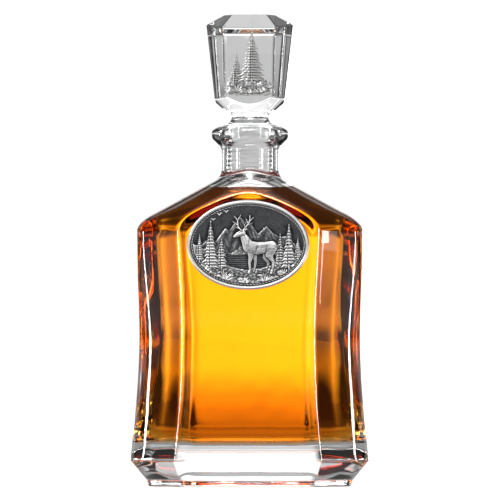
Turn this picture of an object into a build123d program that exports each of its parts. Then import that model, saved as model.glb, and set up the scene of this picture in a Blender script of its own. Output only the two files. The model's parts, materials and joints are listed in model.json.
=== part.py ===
from build123d import *
import math
import os

# Glass spirit decanter with a lift-out stopper, a ribbed stopper seal and two
# bonded pewter plaques.
# Frame: millimetres, +Z up, origin at the centre of the foot's rest face.
# The plaque side, which is the front, faces -Y. Width runs along X.

os.makedirs("parts", exist_ok=True)

# ------------------------------------------------------------ driving sizes
FOOT_TOP_Z = 3.2          # where the foot's short upright band ends
RIDGE_Z = 13.4            # widest level of the base
BEVEL_IN = 8.3            # how far the bevel under the ridge goes in
FOOT_CHAMFER = 0.9        # softening of the rest face's rim

# Wall of the bottle: a twelve-sided section whose corners move with height.
# front corner x, front depth, second corner x, side half width
WALL_Z = (13.4, 22.0, 33.0, 47.0, 62.0, 78.0, 94.0, 110.0, 126.0, 142.0, 168.0)
FRONT_X = (36.9, 35.9, 34.9, 33.9, 33.3, 33.1, 33.5, 34.3, 35.2, 35.6, 35.6)
FRONT_Y = (41.0, 39.6, 38.1, 36.6, 35.6, 35.2, 35.4, 35.4, 35.4, 35.4, 35.4)
MID_X = (55.2, 53.2, 51.7, 50.5, 49.8, 50.3, 52.0, 53.8, 55.0, 55.3, 55.3)
SIDE_X = (61.2, 60.5, 59.2, 58.1, 57.2, 56.8, 57.2, 57.8, 58.2, 58.3, 58.3)
SIDE_Y = (12.5, 12.0, 11.4, 10.3, 9.4, 9.0, 9.4, 10.0, 10.4, 10.5, 10.5)
CORNER_SLOPE = math.tan(math.radians(41.0))   # plan angle of the wide corner facet
EDGE_BLEND = 0.5          # radial length over which two facets round into each other

# Shoulder: a roof that falls on a straight slope to the sides and crowns over from
# front to back, rounded into the wall at its eave and into the neck by a fillet.
# The flat front and back panels cut it in an arch.
ROOF_Z0 = 167.0           # height of the slope's line at radius 0
ROOF_SLOPE = 0.539        # fall per mm of radius
ROOF_SQUEEZE = 0.35       # share of the depth that counts as radius on the slope
CROWN_DROP = 10.0         # fall of the crown at CROWN_Y from the middle
CROWN_Y = 35.4
EAVE_BLEND = 9.0          # radial length of the eave's rounding
NECK_R = 14.65
NECK_FILLET = 6.9
LIP_R = 19.85
LIP_TOP_Z = 185.4
BORE_R = 10.6
MOUTH_R = 12.6

# Hollow of the bottle
FLOOR_Z = 20.0
FLOOR_ROUND = 9.0
CAV_Z = (29.0, 44.0, 60.0, 78.0, 96.0, 114.0, 132.0, 156.0)
CAV_FRONT_X = (29.8, 28.9, 28.3, 28.2, 29.2, 30.6, 31.2, 31.2)
CAV_FRONT_Y = (32.0, 30.8, 29.8, 29.5, 29.7, 29.7, 29.7, 29.7)
CAV_MID_X = (46.0, 44.7, 43.8, 44.2, 46.0, 47.6, 48.2, 48.2)
CAV_SIDE_X = (52.6, 51.6, 50.7, 50.3, 50.8, 51.4, 51.6, 51.6)
CAV_SIDE_Y = (8.9, 8.2, 7.4, 7.2, 7.7, 8.2, 8.5, 8.5)
CAV_BLEND = 2.2
ROOF_WALL = 5.0           # glass thickness of the shoulder
INNER_BLEND = 12.0

# Stopper
SHANK_R = 8.75
SHANK_BOTTOM_Z = 160.4
COLLAR_R = 11.4
COLLAR_BOTTOM_Z = 186.15
WAIST_R = 9.5
HEAD_BOTTOM_Z = 191.6
# corner points of the faceted head's right front quarter: x, half depth, height
HEAD_HIGH_Z = 237.2
HEAD_LOW_Z = 198.0
HEAD_FRONT = ((13.3, 19.6, HEAD_HIGH_Z), (12.4, 15.6, HEAD_LOW_Z))
HEAD_SECOND = ((18.7, 14.2, HEAD_HIGH_Z), (15.7, 12.3, HEAD_LOW_Z))
HEAD_SIDE = ((22.4, 6.4, HEAD_HIGH_Z), (17.95, 5.6, HEAD_LOW_Z))
HEAD_TOP_Z = 242.3
CROWN_FRONT_Z = 234.6     # lower edge of the front crown bevel

# Seal: a sleeve with rings, a top flange and a bottom lip
SEAL_IN_R = 8.8
SEAL_BODY_R = 9.75
SEAL_RING_R = 10.55
SEAL_RINGS = 9
SEAL_BOTTOM_Z = 159.5
SEAL_FLANGE_Z = 185.45
SEAL_FLANGE_T = 0.6
SEAL_FLANGE_R = 13.6

# Plaque on the front panel
MED_C_Z = 123.0
MED_A = 31.2              # half width
MED_B = 22.8              # half height
MED_PAD_T = 0.6
MED_PLATE_T = 1.6
MED_RIM_T = 2.9
MED_RIM_W = 1.9

# Emblem on the stopper
EMB_PAD_T = 0.3
EMB_PLATE_T = 0.9


# ------------------------------------------------------------ helpers
def smooth(xs, ys, x):
    """Monotone cubic through the points, flat past the ends."""
    if x <= xs[0]:
        return ys[0]
    if x >= xs[-1]:
        return ys[-1]
    n = len(xs)
    h = [xs[i + 1] - xs[i] for i in range(n - 1)]
    d = [(ys[i + 1] - ys[i]) / h[i] for i in range(n - 1)]
    m = [d[0]] + [0.0] * (n - 2) + [d[-1]]
    for i in range(1, n - 1):
        if d[i - 1] * d[i] > 0:
            w1, w2 = 2 * h[i] + h[i - 1], h[i] + 2 * h[i - 1]
            m[i] = (w1 + w2) / (w1 / d[i - 1] + w2 / d[i])
    i = max(k for k in range(n - 1) if xs[k] <= x)
    t = (x - xs[i]) / h[i]
    return (
        (2 * t**3 - 3 * t**2 + 1) * ys[i]
        + (t**3 - 2 * t**2 + t) * h[i] * m[i]
        + (-2 * t**3 + 3 * t**2) * ys[i + 1]
        + (t**3 - t**2) * h[i] * m[i + 1]
    )


def wall_corners(z):
    a, f = smooth(WALL_Z, FRONT_X, z), smooth(WALL_Z, FRONT_Y, z)
    x2 = smooth(WALL_Z, MID_X, z)
    y2 = f - CORNER_SLOPE * (x2 - a)
    return [(a, -f), (x2, -y2), (smooth(WALL_Z, SIDE_X, z), -smooth(WALL_Z, SIDE_Y, z))]


def cavity_corners(z):
    a, f = smooth(CAV_Z, CAV_FRONT_X, z), smooth(CAV_Z, CAV_FRONT_Y, z)
    x2 = smooth(CAV_Z, CAV_MID_X, z)
    y2 = f - CORNER_SLOPE * (x2 - a)
    return [(a, -f), (x2, -y2), (smooth(CAV_Z, CAV_SIDE_X, z), -smooth(CAV_Z, CAV_SIDE_Y, z))]


def mirrored(quarter):
    """A closed ring of points from those of one quarter, X axis to Y axis."""
    top = quarter + [(-x, y) for x, y in reversed(quarter[:-1])]
    return top + [(x, -y) for x, y in reversed(top[1:-1])]


def soft_min(a, b, k):
    h = max(k - abs(a - b), 0.0) / k
    return min(a, b) - h * h * k / 4


def facet_reach(c, s, corners, blend, with_front, shrink):
    """Distance from the axis to the facets in plan direction (c, s), each moved in by shrink."""
    (x1, y1), (x2, y2), (x3, y3) = corners
    lines = [(1.0, 0.0, x3)]
    for (xa, ya), (xb, yb) in (((x1, y1), (x2, y2)), ((x2, y2), (x3, y3))):
        nx, ny = ya - yb, xb - xa
        n = math.hypot(nx, ny)
        lines.append((nx / n, ny / n, (nx * xa + ny * ya) / n))
    if with_front:
        lines.append((0.0, 1.0, y1))
    reach = 400.0
    for nx, ny, d in sorted(lines, key=lambda q: q[2] / max(q[0] * c + q[1] * s, 1e-4)):
        reach = soft_min(reach, min((d - shrink) / max(nx * c + ny * s, 1e-4), 390.0), blend)
    return reach


def roof_reach(c, s, z, drop):
    """Distance from the axis at which the roof comes down to height z."""
    low, high = 0.0, 400.0
    for _ in range(45):
        r = (low + high) / 2
        height = (
            ROOF_Z0 - drop - ROOF_SLOPE * r * math.hypot(c, ROOF_SQUEEZE * s)
            - CROWN_DROP * (r * s / CROWN_Y) ** 2
        )
        if height > z:
            low = r
        else:
            high = r
    return r


def plan_points(z, corners, blend, with_front=False, shrink=0.0, drop=None, eave=1.0, neck=False):
    """Closed ring of points of the vessel's plan at height z."""
    corners = [(x, -y) for x, y in corners]
    a1, a2, a3 = [math.atan2(y, x) for x, y in corners]
    if not with_front:
        a1 = min(a1, math.radians(50.0))
    d = math.radians(1.4)
    marks = [0.0, 0.5 * (a3 - d), a3 - d, a3, a3 + d]
    marks += [(a3 + a2) / 2, a2 - d, a2, a2 + d]
    marks += [a2 + d + (a1 - a2 - 2 * d) * k for k in (0.25, 0.5, 0.75, 1.0)]
    marks += [a1, a1 + d]
    marks += [a1 + d + (math.pi / 2 - a1 - d) * k for k in (0.2, 0.4, 0.6, 0.8, 1.0)]
    quarter = []
    for a in marks:
        c, s = math.cos(a), math.sin(a)
        r = facet_reach(c, s, corners, blend, with_front, shrink)
        if drop is not None:
            r = soft_min(r, roof_reach(c, s, z, drop), eave)
        if not with_front:
            r = soft_min(r, 58.0 / max(s, 0.01), 8.0)
        if neck:
            if z > fillet_z:
                rn = NECK_R + 0.06
            elif z > fillet_z - NECK_FILLET * math.cos(slope):
                rn = NECK_R + 0.06 + NECK_FILLET - math.sqrt(NECK_FILLET**2 - (fillet_z - z) ** 2)
            else:
                rn = NECK_R
            r = -soft_min(-r, -rn, 1.2)
        quarter.append((r * c, r * s))
    return mirrored(quarter)


slope = math.atan(ROOF_SLOPE)
fillet_rise = NECK_FILLET * math.tan((math.pi / 2 - slope) / 2)
fillet_z = ROOF_Z0 - ROOF_SLOPE * NECK_R + fillet_rise


def chord_knots(ring):
    """Parameters from 0 to 1 in step with the lengths between the ring's points."""
    total, out = 0.0, [0.0]
    for i in range(len(ring)):
        total += math.dist(ring[i], ring[(i + 1) % len(ring)])
        out.append(total)
    return [q / total for q in out]


OUTER_KNOTS = chord_knots(plan_points(80.0, wall_corners(80.0), EDGE_BLEND))
INNER_KNOTS = chord_knots(plan_points(80.0, cavity_corners(80.0), CAV_BLEND, True))


def section(z, corners, blend, with_front=False, **more):
    """Smooth closed wire of the plan; every level shares one parametrisation."""
    ring = plan_points(z, corners, blend, with_front, **more)
    knots = INNER_KNOTS if with_front else OUTER_KNOTS
    return Wire(
        [Edge.make_spline([Vector(x, y, z) for x, y in ring], periodic=True, parameters=knots)]
    )


def revolved(points):
    """Solid of revolution about Z of a closed outline of (radius, height)."""
    return revolve(Plane.XZ * make_face(Polyline(*points, close=True)), Axis.Z)


def arc_points(c, r, from_deg, to_deg, n):
    return [
        (
            c[0] + r * math.cos(math.radians(from_deg + (to_deg - from_deg) * i / n)),
            c[1] + r * math.sin(math.radians(from_deg + (to_deg - from_deg) * i / n)),
        )
        for i in range(n + 1)
    ]


def save(shape, name):
    export_step(shape, f"parts/{name}.step")


# ------------------------------------------------------------ glass body
# side and corner facets, shoulder and neck fillet as one loft
WALL_LEVELS = (13.4, 16.0, 20.0, 26.0, 34.0, 44.0, 56.0, 70.0, 84.0, 98.0, 110.0, 119.0)
ROOF_LEVELS = (124.0, 127.5, 130.0, 132.0, 134.0, 136.0, 138.0, 140.5, 143.5, 146.5, 149.5,
               152.5, 155.0, 157.0, 158.6, 160.0, 161.4, 162.9)
outer_sections = [section(z, wall_corners(z), EDGE_BLEND) for z in WALL_LEVELS]
outer_sections += [
    section(z, wall_corners(z), EDGE_BLEND, drop=0.0, eave=EAVE_BLEND, neck=True)
    for z in ROOF_LEVELS
]
shell = Solid.make_loft(outer_sections, False)

# under the ridge: bevel, short upright band and softened rest face
ridge = wall_corners(RIDGE_Z)
base = Solid.make_loft(
    [
        section(z, ridge, EDGE_BLEND, shrink=d)
        for z, d in (
            (0.0, BEVEL_IN + 0.5 + FOOT_CHAMFER),
            (FOOT_CHAMFER, BEVEL_IN + 0.5),
            (FOOT_TOP_Z, BEVEL_IN),
            (RIDGE_Z, 0.0),
        )
    ],
    True,
)

# front and back panels: one profile in Y and Z, pushed through along X
side = [(-smooth(WALL_Z, FRONT_Y, z), z) for z in (13.4, 20, 28, 38, 50, 62, 74, 86, 94)]
with BuildSketch(Plane.YZ) as panel_sketch:
    with BuildLine():
        Spline(*side, tangents=[(0.22, 1), (0, 1)])
        Polyline(
            side[-1], (side[-1][0], 190), (-side[-1][0], 190), (-side[-1][0], side[-1][1])
        )
        Spline(*[(-y, z) for y, z in reversed(side)], tangents=[(0, -1), (0.22, -1)])
        f = FRONT_Y[0] - BEVEL_IN
        Polyline(
            (FRONT_Y[0], RIDGE_Z), (f, FOOT_TOP_Z), (f - 0.5, FOOT_CHAMFER),
            (f - 0.5 - FOOT_CHAMFER, 0.0), (-f + 0.5 + FOOT_CHAMFER, 0.0),
            (-f + 0.5, FOOT_CHAMFER), (-f, FOOT_TOP_Z), (-FRONT_Y[0], RIDGE_Z),
        )
    make_face()
panels = extrude(panel_sketch.sketch, 80, both=True)

neck = revolved(
    [
        (0, 150.0),
        (NECK_R, 150.0),
        (NECK_R, 174.2),
        (15.1, 175.0),
        (19.0, 178.2),
        (19.6, 179.1),
        (LIP_R, 180.2),
        (LIP_R, 181.8),
        (19.6, 182.7),
        (19.0, 183.4),
        (18.0, 183.9),
        (14.6, 185.0),
        (13.9, LIP_TOP_Z),
        (0, LIP_TOP_Z),
    ]
)
outer = ((shell + base) & panels) + neck

# ------------------------------------------------------------ hollow
drop = ROOF_WALL / math.cos(slope)
cavity_sections = []
for i in range(6):
    a = math.pi / 2 * i / 5
    z = FLOOR_Z + FLOOR_ROUND * (1 - math.cos(a))
    d = 0.85 * FLOOR_ROUND * (1 - math.sin(a))
    cavity_sections.append(section(z, cavity_corners(CAV_Z[0]), CAV_BLEND, True, shrink=d))
cavity_sections += [
    section(z, cavity_corners(z), CAV_BLEND, True) for z in (36.0, 47.0, 60.0, 74.0, 88.0, 100.0, 110.0)
]
cavity_sections += [
    section(z, cavity_corners(z), CAV_BLEND, True, drop=drop, eave=INNER_BLEND)
    for z in (116.0, 120.0, 123.0, 125.5, 128.0, 130.5, 133.0, 136.0, 139.5, 143.0, 146.5, 150.0, 153.0)
]
cavity = Solid.make_loft(cavity_sections, False)
bore = revolved(
    [
        (0, 140.0),
        (BORE_R, 140.0),
        (BORE_R, 182.4),
        (10.9, 183.2),
        (12.0, 184.6),
        (MOUTH_R, LIP_TOP_Z + 0.01),
        (MOUTH_R, LIP_TOP_Z + 3.0),
        (0, LIP_TOP_Z + 3.0),
    ]
)
hollow = cavity + bore
print("brim capacity ml", round((hollow & Pos(0, 0, LIP_TOP_Z / 2) * Box(200, 200, LIP_TOP_Z)).volume / 1000, 1))
glass_body = outer - hollow
save(glass_body, "glass_body")
print("glass body volume cm3", round(glass_body.volume / 1000, 1))


# ------------------------------------------------------------ stopper
def half_space(point, normal):
    """A large block whose near face passes through point, filling the side away from normal."""
    pl = Plane(origin=point, z_dir=normal)
    return pl * Pos(0, 0, -200) * Box(400, 400, 400)


HEAD_PLANES = []


def head_plane(p, n):
    """One facet and its mirror images across X and Y."""
    for sx in (1, -1) if abs(n[0]) > 1e-9 else (1,):
        for sy in (1, -1) if abs(n[1]) > 1e-9 else (1,):
            HEAD_PLANES.append(((sx * p[0], sy * p[1], p[2]), (sx * n[0], sy * n[1], n[2])))


def through(p1, p2, p3):
    """Facet plane through three corner points, facing away from the axis."""
    n = (Vector(*p2) - Vector(*p1)).cross(Vector(*p3) - Vector(*p1)).normalized()
    if n.X * p1[0] + n.Y * p1[1] < 0:
        n = n * -1
    head_plane(p1, (n.X, n.Y, n.Z))


front_slope = (HEAD_FRONT[0][1] - HEAD_FRONT[1][1]) / (HEAD_HIGH_Z - HEAD_LOW_Z)
side_slope = (HEAD_SIDE[0][0] - HEAD_SIDE[1][0]) / (HEAD_HIGH_Z - HEAD_LOW_Z)
head_plane((0, HEAD_FRONT[0][1], HEAD_HIGH_Z), (0, 1, -front_slope))
head_plane((HEAD_SIDE[0][0], 0, HEAD_HIGH_Z), (1, 0, -side_slope))
through(HEAD_FRONT[0], HEAD_FRONT[1], HEAD_SECOND[0])
through(HEAD_SECOND[0], HEAD_SECOND[1], HEAD_SIDE[0])
# crown bevels, flatter over the sides than over the front
head_plane((0, HEAD_FRONT[0][1] - 0.2, CROWN_FRONT_Z), (0, 0.643, 0.766))
head_plane((HEAD_SIDE[0][0], 0, HEAD_HIGH_Z), (0.477, 0, 0.879))
head_plane((16.0, 16.9, 235.3), (0.36, 0.46, 0.81))
head_plane((0, 0, HEAD_TOP_Z), (0, 0, 1))

head = Pos(0, 0, 215) * Box(60, 60, 80)
for p, n in HEAD_PLANES:
    head = head & half_space(p, n)
cone_head = revolved(
    [
        (0, 188.0),
        (WAIST_R, 188.0),
        (WAIST_R, 190.9),
        (10.1, HEAD_BOTTOM_Z),
        (16.2, 196.1),
        (30.0, 207.6),
        (40.0, 300.0),
        (0, 300.0),
    ]
)
head = head & cone_head
stem = revolved(
    [
        (0, SHANK_BOTTOM_Z),
        (SHANK_R - 0.6, SHANK_BOTTOM_Z),
        (SHANK_R, SHANK_BOTTOM_Z + 0.8),
        (SHANK_R, COLLAR_BOTTOM_Z),
        (COLLAR_R, COLLAR_BOTTOM_Z),
        (COLLAR_R, 186.5),
        (10.6, 187.3),
        (9.8, 188.2),
        (WAIST_R, 189.4),
        (WAIST_R, 190.9),
        (0, 190.9),
    ]
)
stopper_glass = head + stem
save(stopper_glass, "stopper_glass")

# ------------------------------------------------------------ seal
profile = [(SEAL_IN_R, SEAL_BOTTOM_Z + 0.8), (7.3, SEAL_BOTTOM_Z + 0.8), (7.3, SEAL_BOTTOM_Z)]
profile += [(SEAL_BODY_R - 0.5, SEAL_BOTTOM_Z), (SEAL_BODY_R, SEAL_BOTTOM_Z + 0.6)]
ring_low, ring_high = 161.9, 180.6
pitch = (ring_high - ring_low) / (SEAL_RINGS - 1)
for i in range(SEAL_RINGS):
    z = ring_low + pitch * i
    profile += [
        (SEAL_BODY_R, z - 0.62),
        (SEAL_RING_R, z - 0.22),
        (SEAL_RING_R, z + 0.22),
        (SEAL_BODY_R, z + 0.62),
    ]
profile += [
    (SEAL_BODY_R, 182.6),
    (11.8, SEAL_FLANGE_Z),
    (SEAL_FLANGE_R, SEAL_FLANGE_Z),
    (SEAL_FLANGE_R, SEAL_FLANGE_Z + SEAL_FLANGE_T),
    (SEAL_IN_R, SEAL_FLANGE_Z + SEAL_FLANGE_T),
]
stopper_seal = revolved(profile)
save(stopper_seal, "stopper_seal")

# ------------------------------------------------------------ plaque
front_y = -FRONT_Y[-1]


def on_front(y, sketch, depth):
    """Sketch in X and Z, pushed from y towards the front by depth."""
    pl = Plane(origin=(0, y, MED_C_Z), x_dir=(1, 0, 0), z_dir=(0, -1, 0))
    return extrude(pl * sketch, depth)


pad = on_front(front_y, Ellipse(MED_A - 1.2, MED_B - 1.2), MED_PAD_T)
save(pad, "medallion_adhesive")
back_y = front_y - MED_PAD_T
plate = on_front(back_y, Ellipse(MED_A, MED_B), MED_PLATE_T)
rim = on_front(back_y, Ellipse(MED_A, MED_B) - Ellipse(MED_A - MED_RIM_W, MED_B - MED_RIM_W), MED_RIM_T)
# stepped relief: a range of peaks, then the near shore, then conifers at both sides
field = Ellipse(MED_A - MED_RIM_W - 0.6, MED_B - MED_RIM_W - 0.6)
PEAKS = [
    (-27, -4), (-21, 2.5), (-17, 1.0), (-11.5, 8.5), (-9.5, 7.4), (-4.0, 14.6), (-1.5, 11.6),
    (0.6, 12.8), (5.0, 5.6), (9.5, 9.6), (12.2, 6.6), (16.5, 3.6), (20.0, 5.0), (27, -3),
    (27, -8), (-27, -8),
]
SHORE = [
    (-30, -6.5), (-20, -8.2), (-10, -10.6), (-2, -12.8), (7, -12.2), (15, -9.4), (23, -7.0),
    (30, -6.0), (30, -24), (-30, -24),
]


def conifer(x, foot, top, half, tiers):
    """Zigzag outline of a tree: tiers of boughs that get shorter upwards."""
    step = (top - foot) * 0.93 / tiers
    low = foot + (top - foot) * 0.07
    side = [(half * 0.12, foot), (half * 0.12, low)]
    for i in range(tiers):
        k = 1 - i / tiers
        side.append((half * k, low + step * i - 0.12 * step))
        side.append((half * k * 0.52, low + step * (i + 0.86)))
    right = [(x + dx, y) for dx, y in side]
    left = [(x - dx, y) for dx, y in reversed(side)]
    return right + [(x, top)] + left


peaks = make_face(Polyline(*PEAKS, close=True)) & field
shore = make_face(Polyline(*SHORE, close=True)) & field
plaque = plate + rim
plaque = plaque + on_front(back_y, peaks, MED_PLATE_T + 0.45)
plaque = plaque + on_front(back_y, shore, MED_PLATE_T + 0.75)
TREES = [
    (-19.6, -13.4, 10.2, 5.6, 7), (-12.6, -14.6, 1.2, 3.8, 5), (20.6, -12.6, 7.4, 4.8, 6),
    (14.6, -14.4, -0.6, 3.3, 5),
]
for tree in TREES:
    outline = make_face(Polyline(*conifer(*tree), close=True)) & field
    plaque = plaque + on_front(back_y, outline, MED_PLATE_T + 1.0)
save(plaque, "medallion")

# ------------------------------------------------------------ emblem
lean = math.atan(front_slope)
emb_z0 = 200.3            # height of the emblem's lower edge on the facet
emb_y = -(HEAD_FRONT[1][1] + front_slope * (emb_z0 - HEAD_LOW_Z))
facet = Plane(
    origin=(0, emb_y, emb_z0),
    x_dir=(1, 0, 0),
    z_dir=(0, -math.cos(lean), -math.sin(lean)),
)
LEDGE = [
    (-11.6, 1.4), (-9.4, 0.2), (-3.0, 0.0), (3.4, 0.4), (9.0, 0.0), (11.4, 1.2), (11.8, 4.4),
    (10.2, 7.4), (7.6, 8.6), (4.0, 7.6), (0.0, 8.2), (-4.2, 9.4), (-7.8, 8.4), (-10.6, 9.2),
    (-11.9, 5.2),
]
TALL = (1.4, 5.0, 34.2, 8.2, 7)
SHORT = (-6.6, 5.0, 22.0, 4.8, 5)
ledge = make_face(Polyline(*LEDGE, close=True))
tall = make_face(Polyline(*conifer(*TALL), close=True))
short = make_face(Polyline(*conifer(*SHORT), close=True))
film_ledge = make_face(Polyline((-9.8, 2.0), (9.8, 2.0), (9.8, 6.0), (-9.8, 6.0), close=True))
film_tall = make_face(Polyline((-0.9, 5.5), (3.7, 5.5), (2.0, 29.0), (0.8, 29.0), close=True))
film = extrude(facet * (film_ledge + film_tall), EMB_PAD_T)
save(film, "emblem_adhesive")
lifted = facet.offset(EMB_PAD_T)
casting = extrude(lifted * ledge, EMB_PLATE_T + 0.9)
casting = casting + extrude(lifted * tall, EMB_PLATE_T + 0.6)
casting = casting + extrude(lifted * short, EMB_PLATE_T + 0.3)
save(casting, "stopper_emblem")
print("head box", stopper_glass.bounding_box())
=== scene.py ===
import json
import math

import bpy
import numpy as np
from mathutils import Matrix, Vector

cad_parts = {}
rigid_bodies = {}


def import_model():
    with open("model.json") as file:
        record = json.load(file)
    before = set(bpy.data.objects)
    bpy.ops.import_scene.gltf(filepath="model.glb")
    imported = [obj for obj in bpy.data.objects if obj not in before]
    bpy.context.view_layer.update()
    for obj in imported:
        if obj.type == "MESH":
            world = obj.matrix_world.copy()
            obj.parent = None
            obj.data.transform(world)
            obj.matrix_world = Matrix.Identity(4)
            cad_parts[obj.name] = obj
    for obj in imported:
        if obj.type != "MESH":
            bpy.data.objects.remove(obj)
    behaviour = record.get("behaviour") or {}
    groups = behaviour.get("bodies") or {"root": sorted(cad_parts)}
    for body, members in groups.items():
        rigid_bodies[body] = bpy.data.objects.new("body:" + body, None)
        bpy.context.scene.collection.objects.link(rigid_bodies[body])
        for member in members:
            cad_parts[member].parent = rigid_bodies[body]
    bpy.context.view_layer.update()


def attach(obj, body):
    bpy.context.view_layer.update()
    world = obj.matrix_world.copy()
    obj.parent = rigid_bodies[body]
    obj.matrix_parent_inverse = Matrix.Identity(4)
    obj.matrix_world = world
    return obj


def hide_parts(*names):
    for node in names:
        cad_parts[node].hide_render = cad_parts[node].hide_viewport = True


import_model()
MM = 0.001
PI = math.pi

# ---------------------------------------------------------------- shape data (mm)
RIDGE_Z, FOOT_TOP_Z, BEVEL_IN, FOOT_CHAMFER = 13.4, 3.2, 8.3, 0.9
WALL_Z = np.array((13.4, 22.0, 33.0, 47.0, 62.0, 78.0, 94.0, 110.0, 126.0, 142.0, 168.0))
FRONT_X = (36.9, 35.9, 34.9, 33.9, 33.3, 33.1, 33.5, 34.3, 35.2, 35.6, 35.6)
FRONT_Y = (41.0, 39.6, 38.1, 36.6, 35.6, 35.2, 35.4, 35.4, 35.4, 35.4, 35.4)
MID_X = (55.2, 53.2, 51.7, 50.5, 49.8, 50.3, 52.0, 53.8, 55.0, 55.3, 55.3)
SIDE_X = (61.2, 60.5, 59.2, 58.1, 57.2, 56.8, 57.2, 57.8, 58.2, 58.3, 58.3)
SIDE_Y = (12.5, 12.0, 11.4, 10.3, 9.4, 9.0, 9.4, 10.0, 10.4, 10.5, 10.5)
CORNER_SLOPE = math.tan(math.radians(41.0))
ROOF_Z0, ROOF_SLOPE, ROOF_SQUEEZE, CROWN_DROP, CROWN_Y = 167.0, 0.539, 0.35, 10.0, 35.4
EAVE_BLEND = 9.0
NECK_R, NECK_FILLET, BORE_R = 14.65, 6.9, 10.6
LIP_TOP_Z = 185.4
CAV_Z = np.array((29.0, 44.0, 60.0, 78.0, 96.0, 114.0, 132.0, 156.0))
CAV_FRONT_X = (29.8, 28.9, 28.3, 28.2, 29.2, 30.6, 31.2, 31.2)
CAV_FRONT_Y = (32.0, 30.8, 29.8, 29.5, 29.7, 29.7, 29.7, 29.7)
CAV_MID_X = (46.0, 44.7, 43.8, 44.2, 46.0, 47.6, 48.2, 48.2)
CAV_SIDE_X = (52.6, 51.6, 50.7, 50.3, 50.8, 51.4, 51.6, 51.6)
CAV_SIDE_Y = (8.9, 8.2, 7.4, 7.2, 7.7, 8.2, 8.5, 8.5)
FLOOR_Z, FLOOR_ROUND = 20.0, 9.0
ROOF_WALL, INNER_BLEND, CAV_BLEND = 5.0, 12.0, 2.2
LIQUID_Z = 150.4

HEAD_HIGH_Z, HEAD_LOW_Z, HEAD_TOP_Z, CROWN_FRONT_Z = 237.2, 198.0, 242.3, 234.6
HEAD_FRONT = ((13.3, 19.6, HEAD_HIGH_Z), (12.4, 15.6, HEAD_LOW_Z))
HEAD_SECOND = ((18.7, 14.2, HEAD_HIGH_Z), (15.7, 12.3, HEAD_LOW_Z))
HEAD_SIDE = ((22.4, 6.4, HEAD_HIGH_Z), (17.95, 5.6, HEAD_LOW_Z))

slope = math.atan(ROOF_SLOPE)
fillet_rise = NECK_FILLET * math.tan((PI / 2 - slope) / 2)
fillet_z = ROOF_Z0 - ROOF_SLOPE * NECK_R + fillet_rise


# ---------------------------------------------------------------- small maths
def pchip(xs, ys, x):
    """Monotone cubic through the points, flat past the ends."""
    xs, ys = np.asarray(xs, float), np.asarray(ys, float)
    x = np.clip(np.asarray(x, float), xs[0], xs[-1])
    h = np.diff(xs)
    d = np.diff(ys) / h
    m = np.zeros_like(ys)
    m[0], m[-1] = d[0], d[-1]
    for i in range(1, len(xs) - 1):
        if d[i - 1] * d[i] > 0:
            w1, w2 = 2 * h[i] + h[i - 1], h[i] + 2 * h[i - 1]
            m[i] = (w1 + w2) / (w1 / d[i - 1] + w2 / d[i])
    i = np.clip(np.searchsorted(xs, x, side="right") - 1, 0, len(h) - 1)
    t = (x - xs[i]) / h[i]
    return (
        (2 * t**3 - 3 * t**2 + 1) * ys[i]
        + (t**3 - 2 * t**2 + t) * h[i] * m[i]
        + (-2 * t**3 + 3 * t**2) * ys[i + 1]
        + (t**3 - t**2) * h[i] * m[i + 1]
    )


def soft_min(a, b, k):
    h = np.maximum(k - np.abs(a - b), 0.0) / k
    return np.minimum(a, b) - h * h * k / 4


def soft_max(a, b, k):
    return -soft_min(-a, -b, k)


def ease(x):
    x = np.clip(x, 0.0, 1.0)
    return x * x * (3 - 2 * x)


def wave3(p, seed, scale, octaves=3):
    """Smooth repeatable waviness at points p (n, 3): a sum of a few dozen plane waves."""
    rng = np.random.default_rng(seed)
    out = np.zeros(len(p))
    amp = 1.0
    for _ in range(octaves):
        for _ in range(9):
            v = rng.normal(size=3)
            v /= np.linalg.norm(v)
            out += amp * np.sin(p @ v * (2 * PI / scale) * rng.uniform(0.7, 1.3) + rng.uniform(0, 2 * PI))
        scale, amp = scale * 0.5, amp * 0.5
    return out / 4.0


def corners(zs, table_z, fx, fy, mx, sx, sy):
    a, f = pchip(table_z, fx, zs), pchip(table_z, fy, zs)
    x2 = pchip(table_z, mx, zs)
    return (a, f), (x2, f - CORNER_SLOPE * (x2 - a)), (pchip(table_z, sx, zs), pchip(table_z, sy, zs))


def wall_corners(z):
    return corners(z, WALL_Z, FRONT_X, FRONT_Y, MID_X, SIDE_X, SIDE_Y)


def cavity_corners(z):
    return corners(z, CAV_Z, CAV_FRONT_X, CAV_FRONT_Y, CAV_MID_X, CAV_SIDE_X, CAV_SIDE_Y)


def facet_lines(cs):
    (x1, y1), (x2, y2), (x3, y3) = cs
    lines = [(1.0, 0.0, x3)]
    for (xa, ya), (xb, yb) in (((x1, y1), (x2, y2)), ((x2, y2), (x3, y3))):
        nx, ny = ya - yb, xb - xa
        n = math.hypot(nx, ny)
        lines.append((nx / n, ny / n, (nx * xa + ny * ya) / n))
    return lines, (0.0, 1.0, y1)


def roof_reach(c, s, z, drop):
    a = ROOF_SLOPE * np.hypot(c, ROOF_SQUEEZE * s)
    b = CROWN_DROP * (s / CROWN_Y) ** 2
    d = max(ROOF_Z0 - drop - z, 0.0)
    return np.where(b > 1e-9, (-a + np.sqrt(a * a + 4 * b * d)) / np.maximum(2 * b, 1e-9), d / a)


def sides_reach(c, s, cs, blend, shrink, front_blend=None):
    lines, front = facet_lines(cs)
    r = np.full_like(c, 400.0)
    for nx, ny, d in lines:
        r = soft_min(r, np.minimum((d - shrink) / np.maximum(nx * c + ny * s, 1e-4), 390.0), blend)
    return r, np.minimum((front[2] - shrink) / np.maximum(s, 1e-4), 390.0)


def clustered(a, b, n):
    """n steps from a up to but without b, denser at both ends."""
    t = np.arange(n) / n
    t = 0.35 * t + 0.65 * (0.5 - 0.5 * np.cos(PI * t))
    return a + (b - a) * t


QUARTER = (9, 11, 20, 20)          # samples on side, second, corner and front facets
N_AROUND = 4 * sum(QUARTER)


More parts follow.
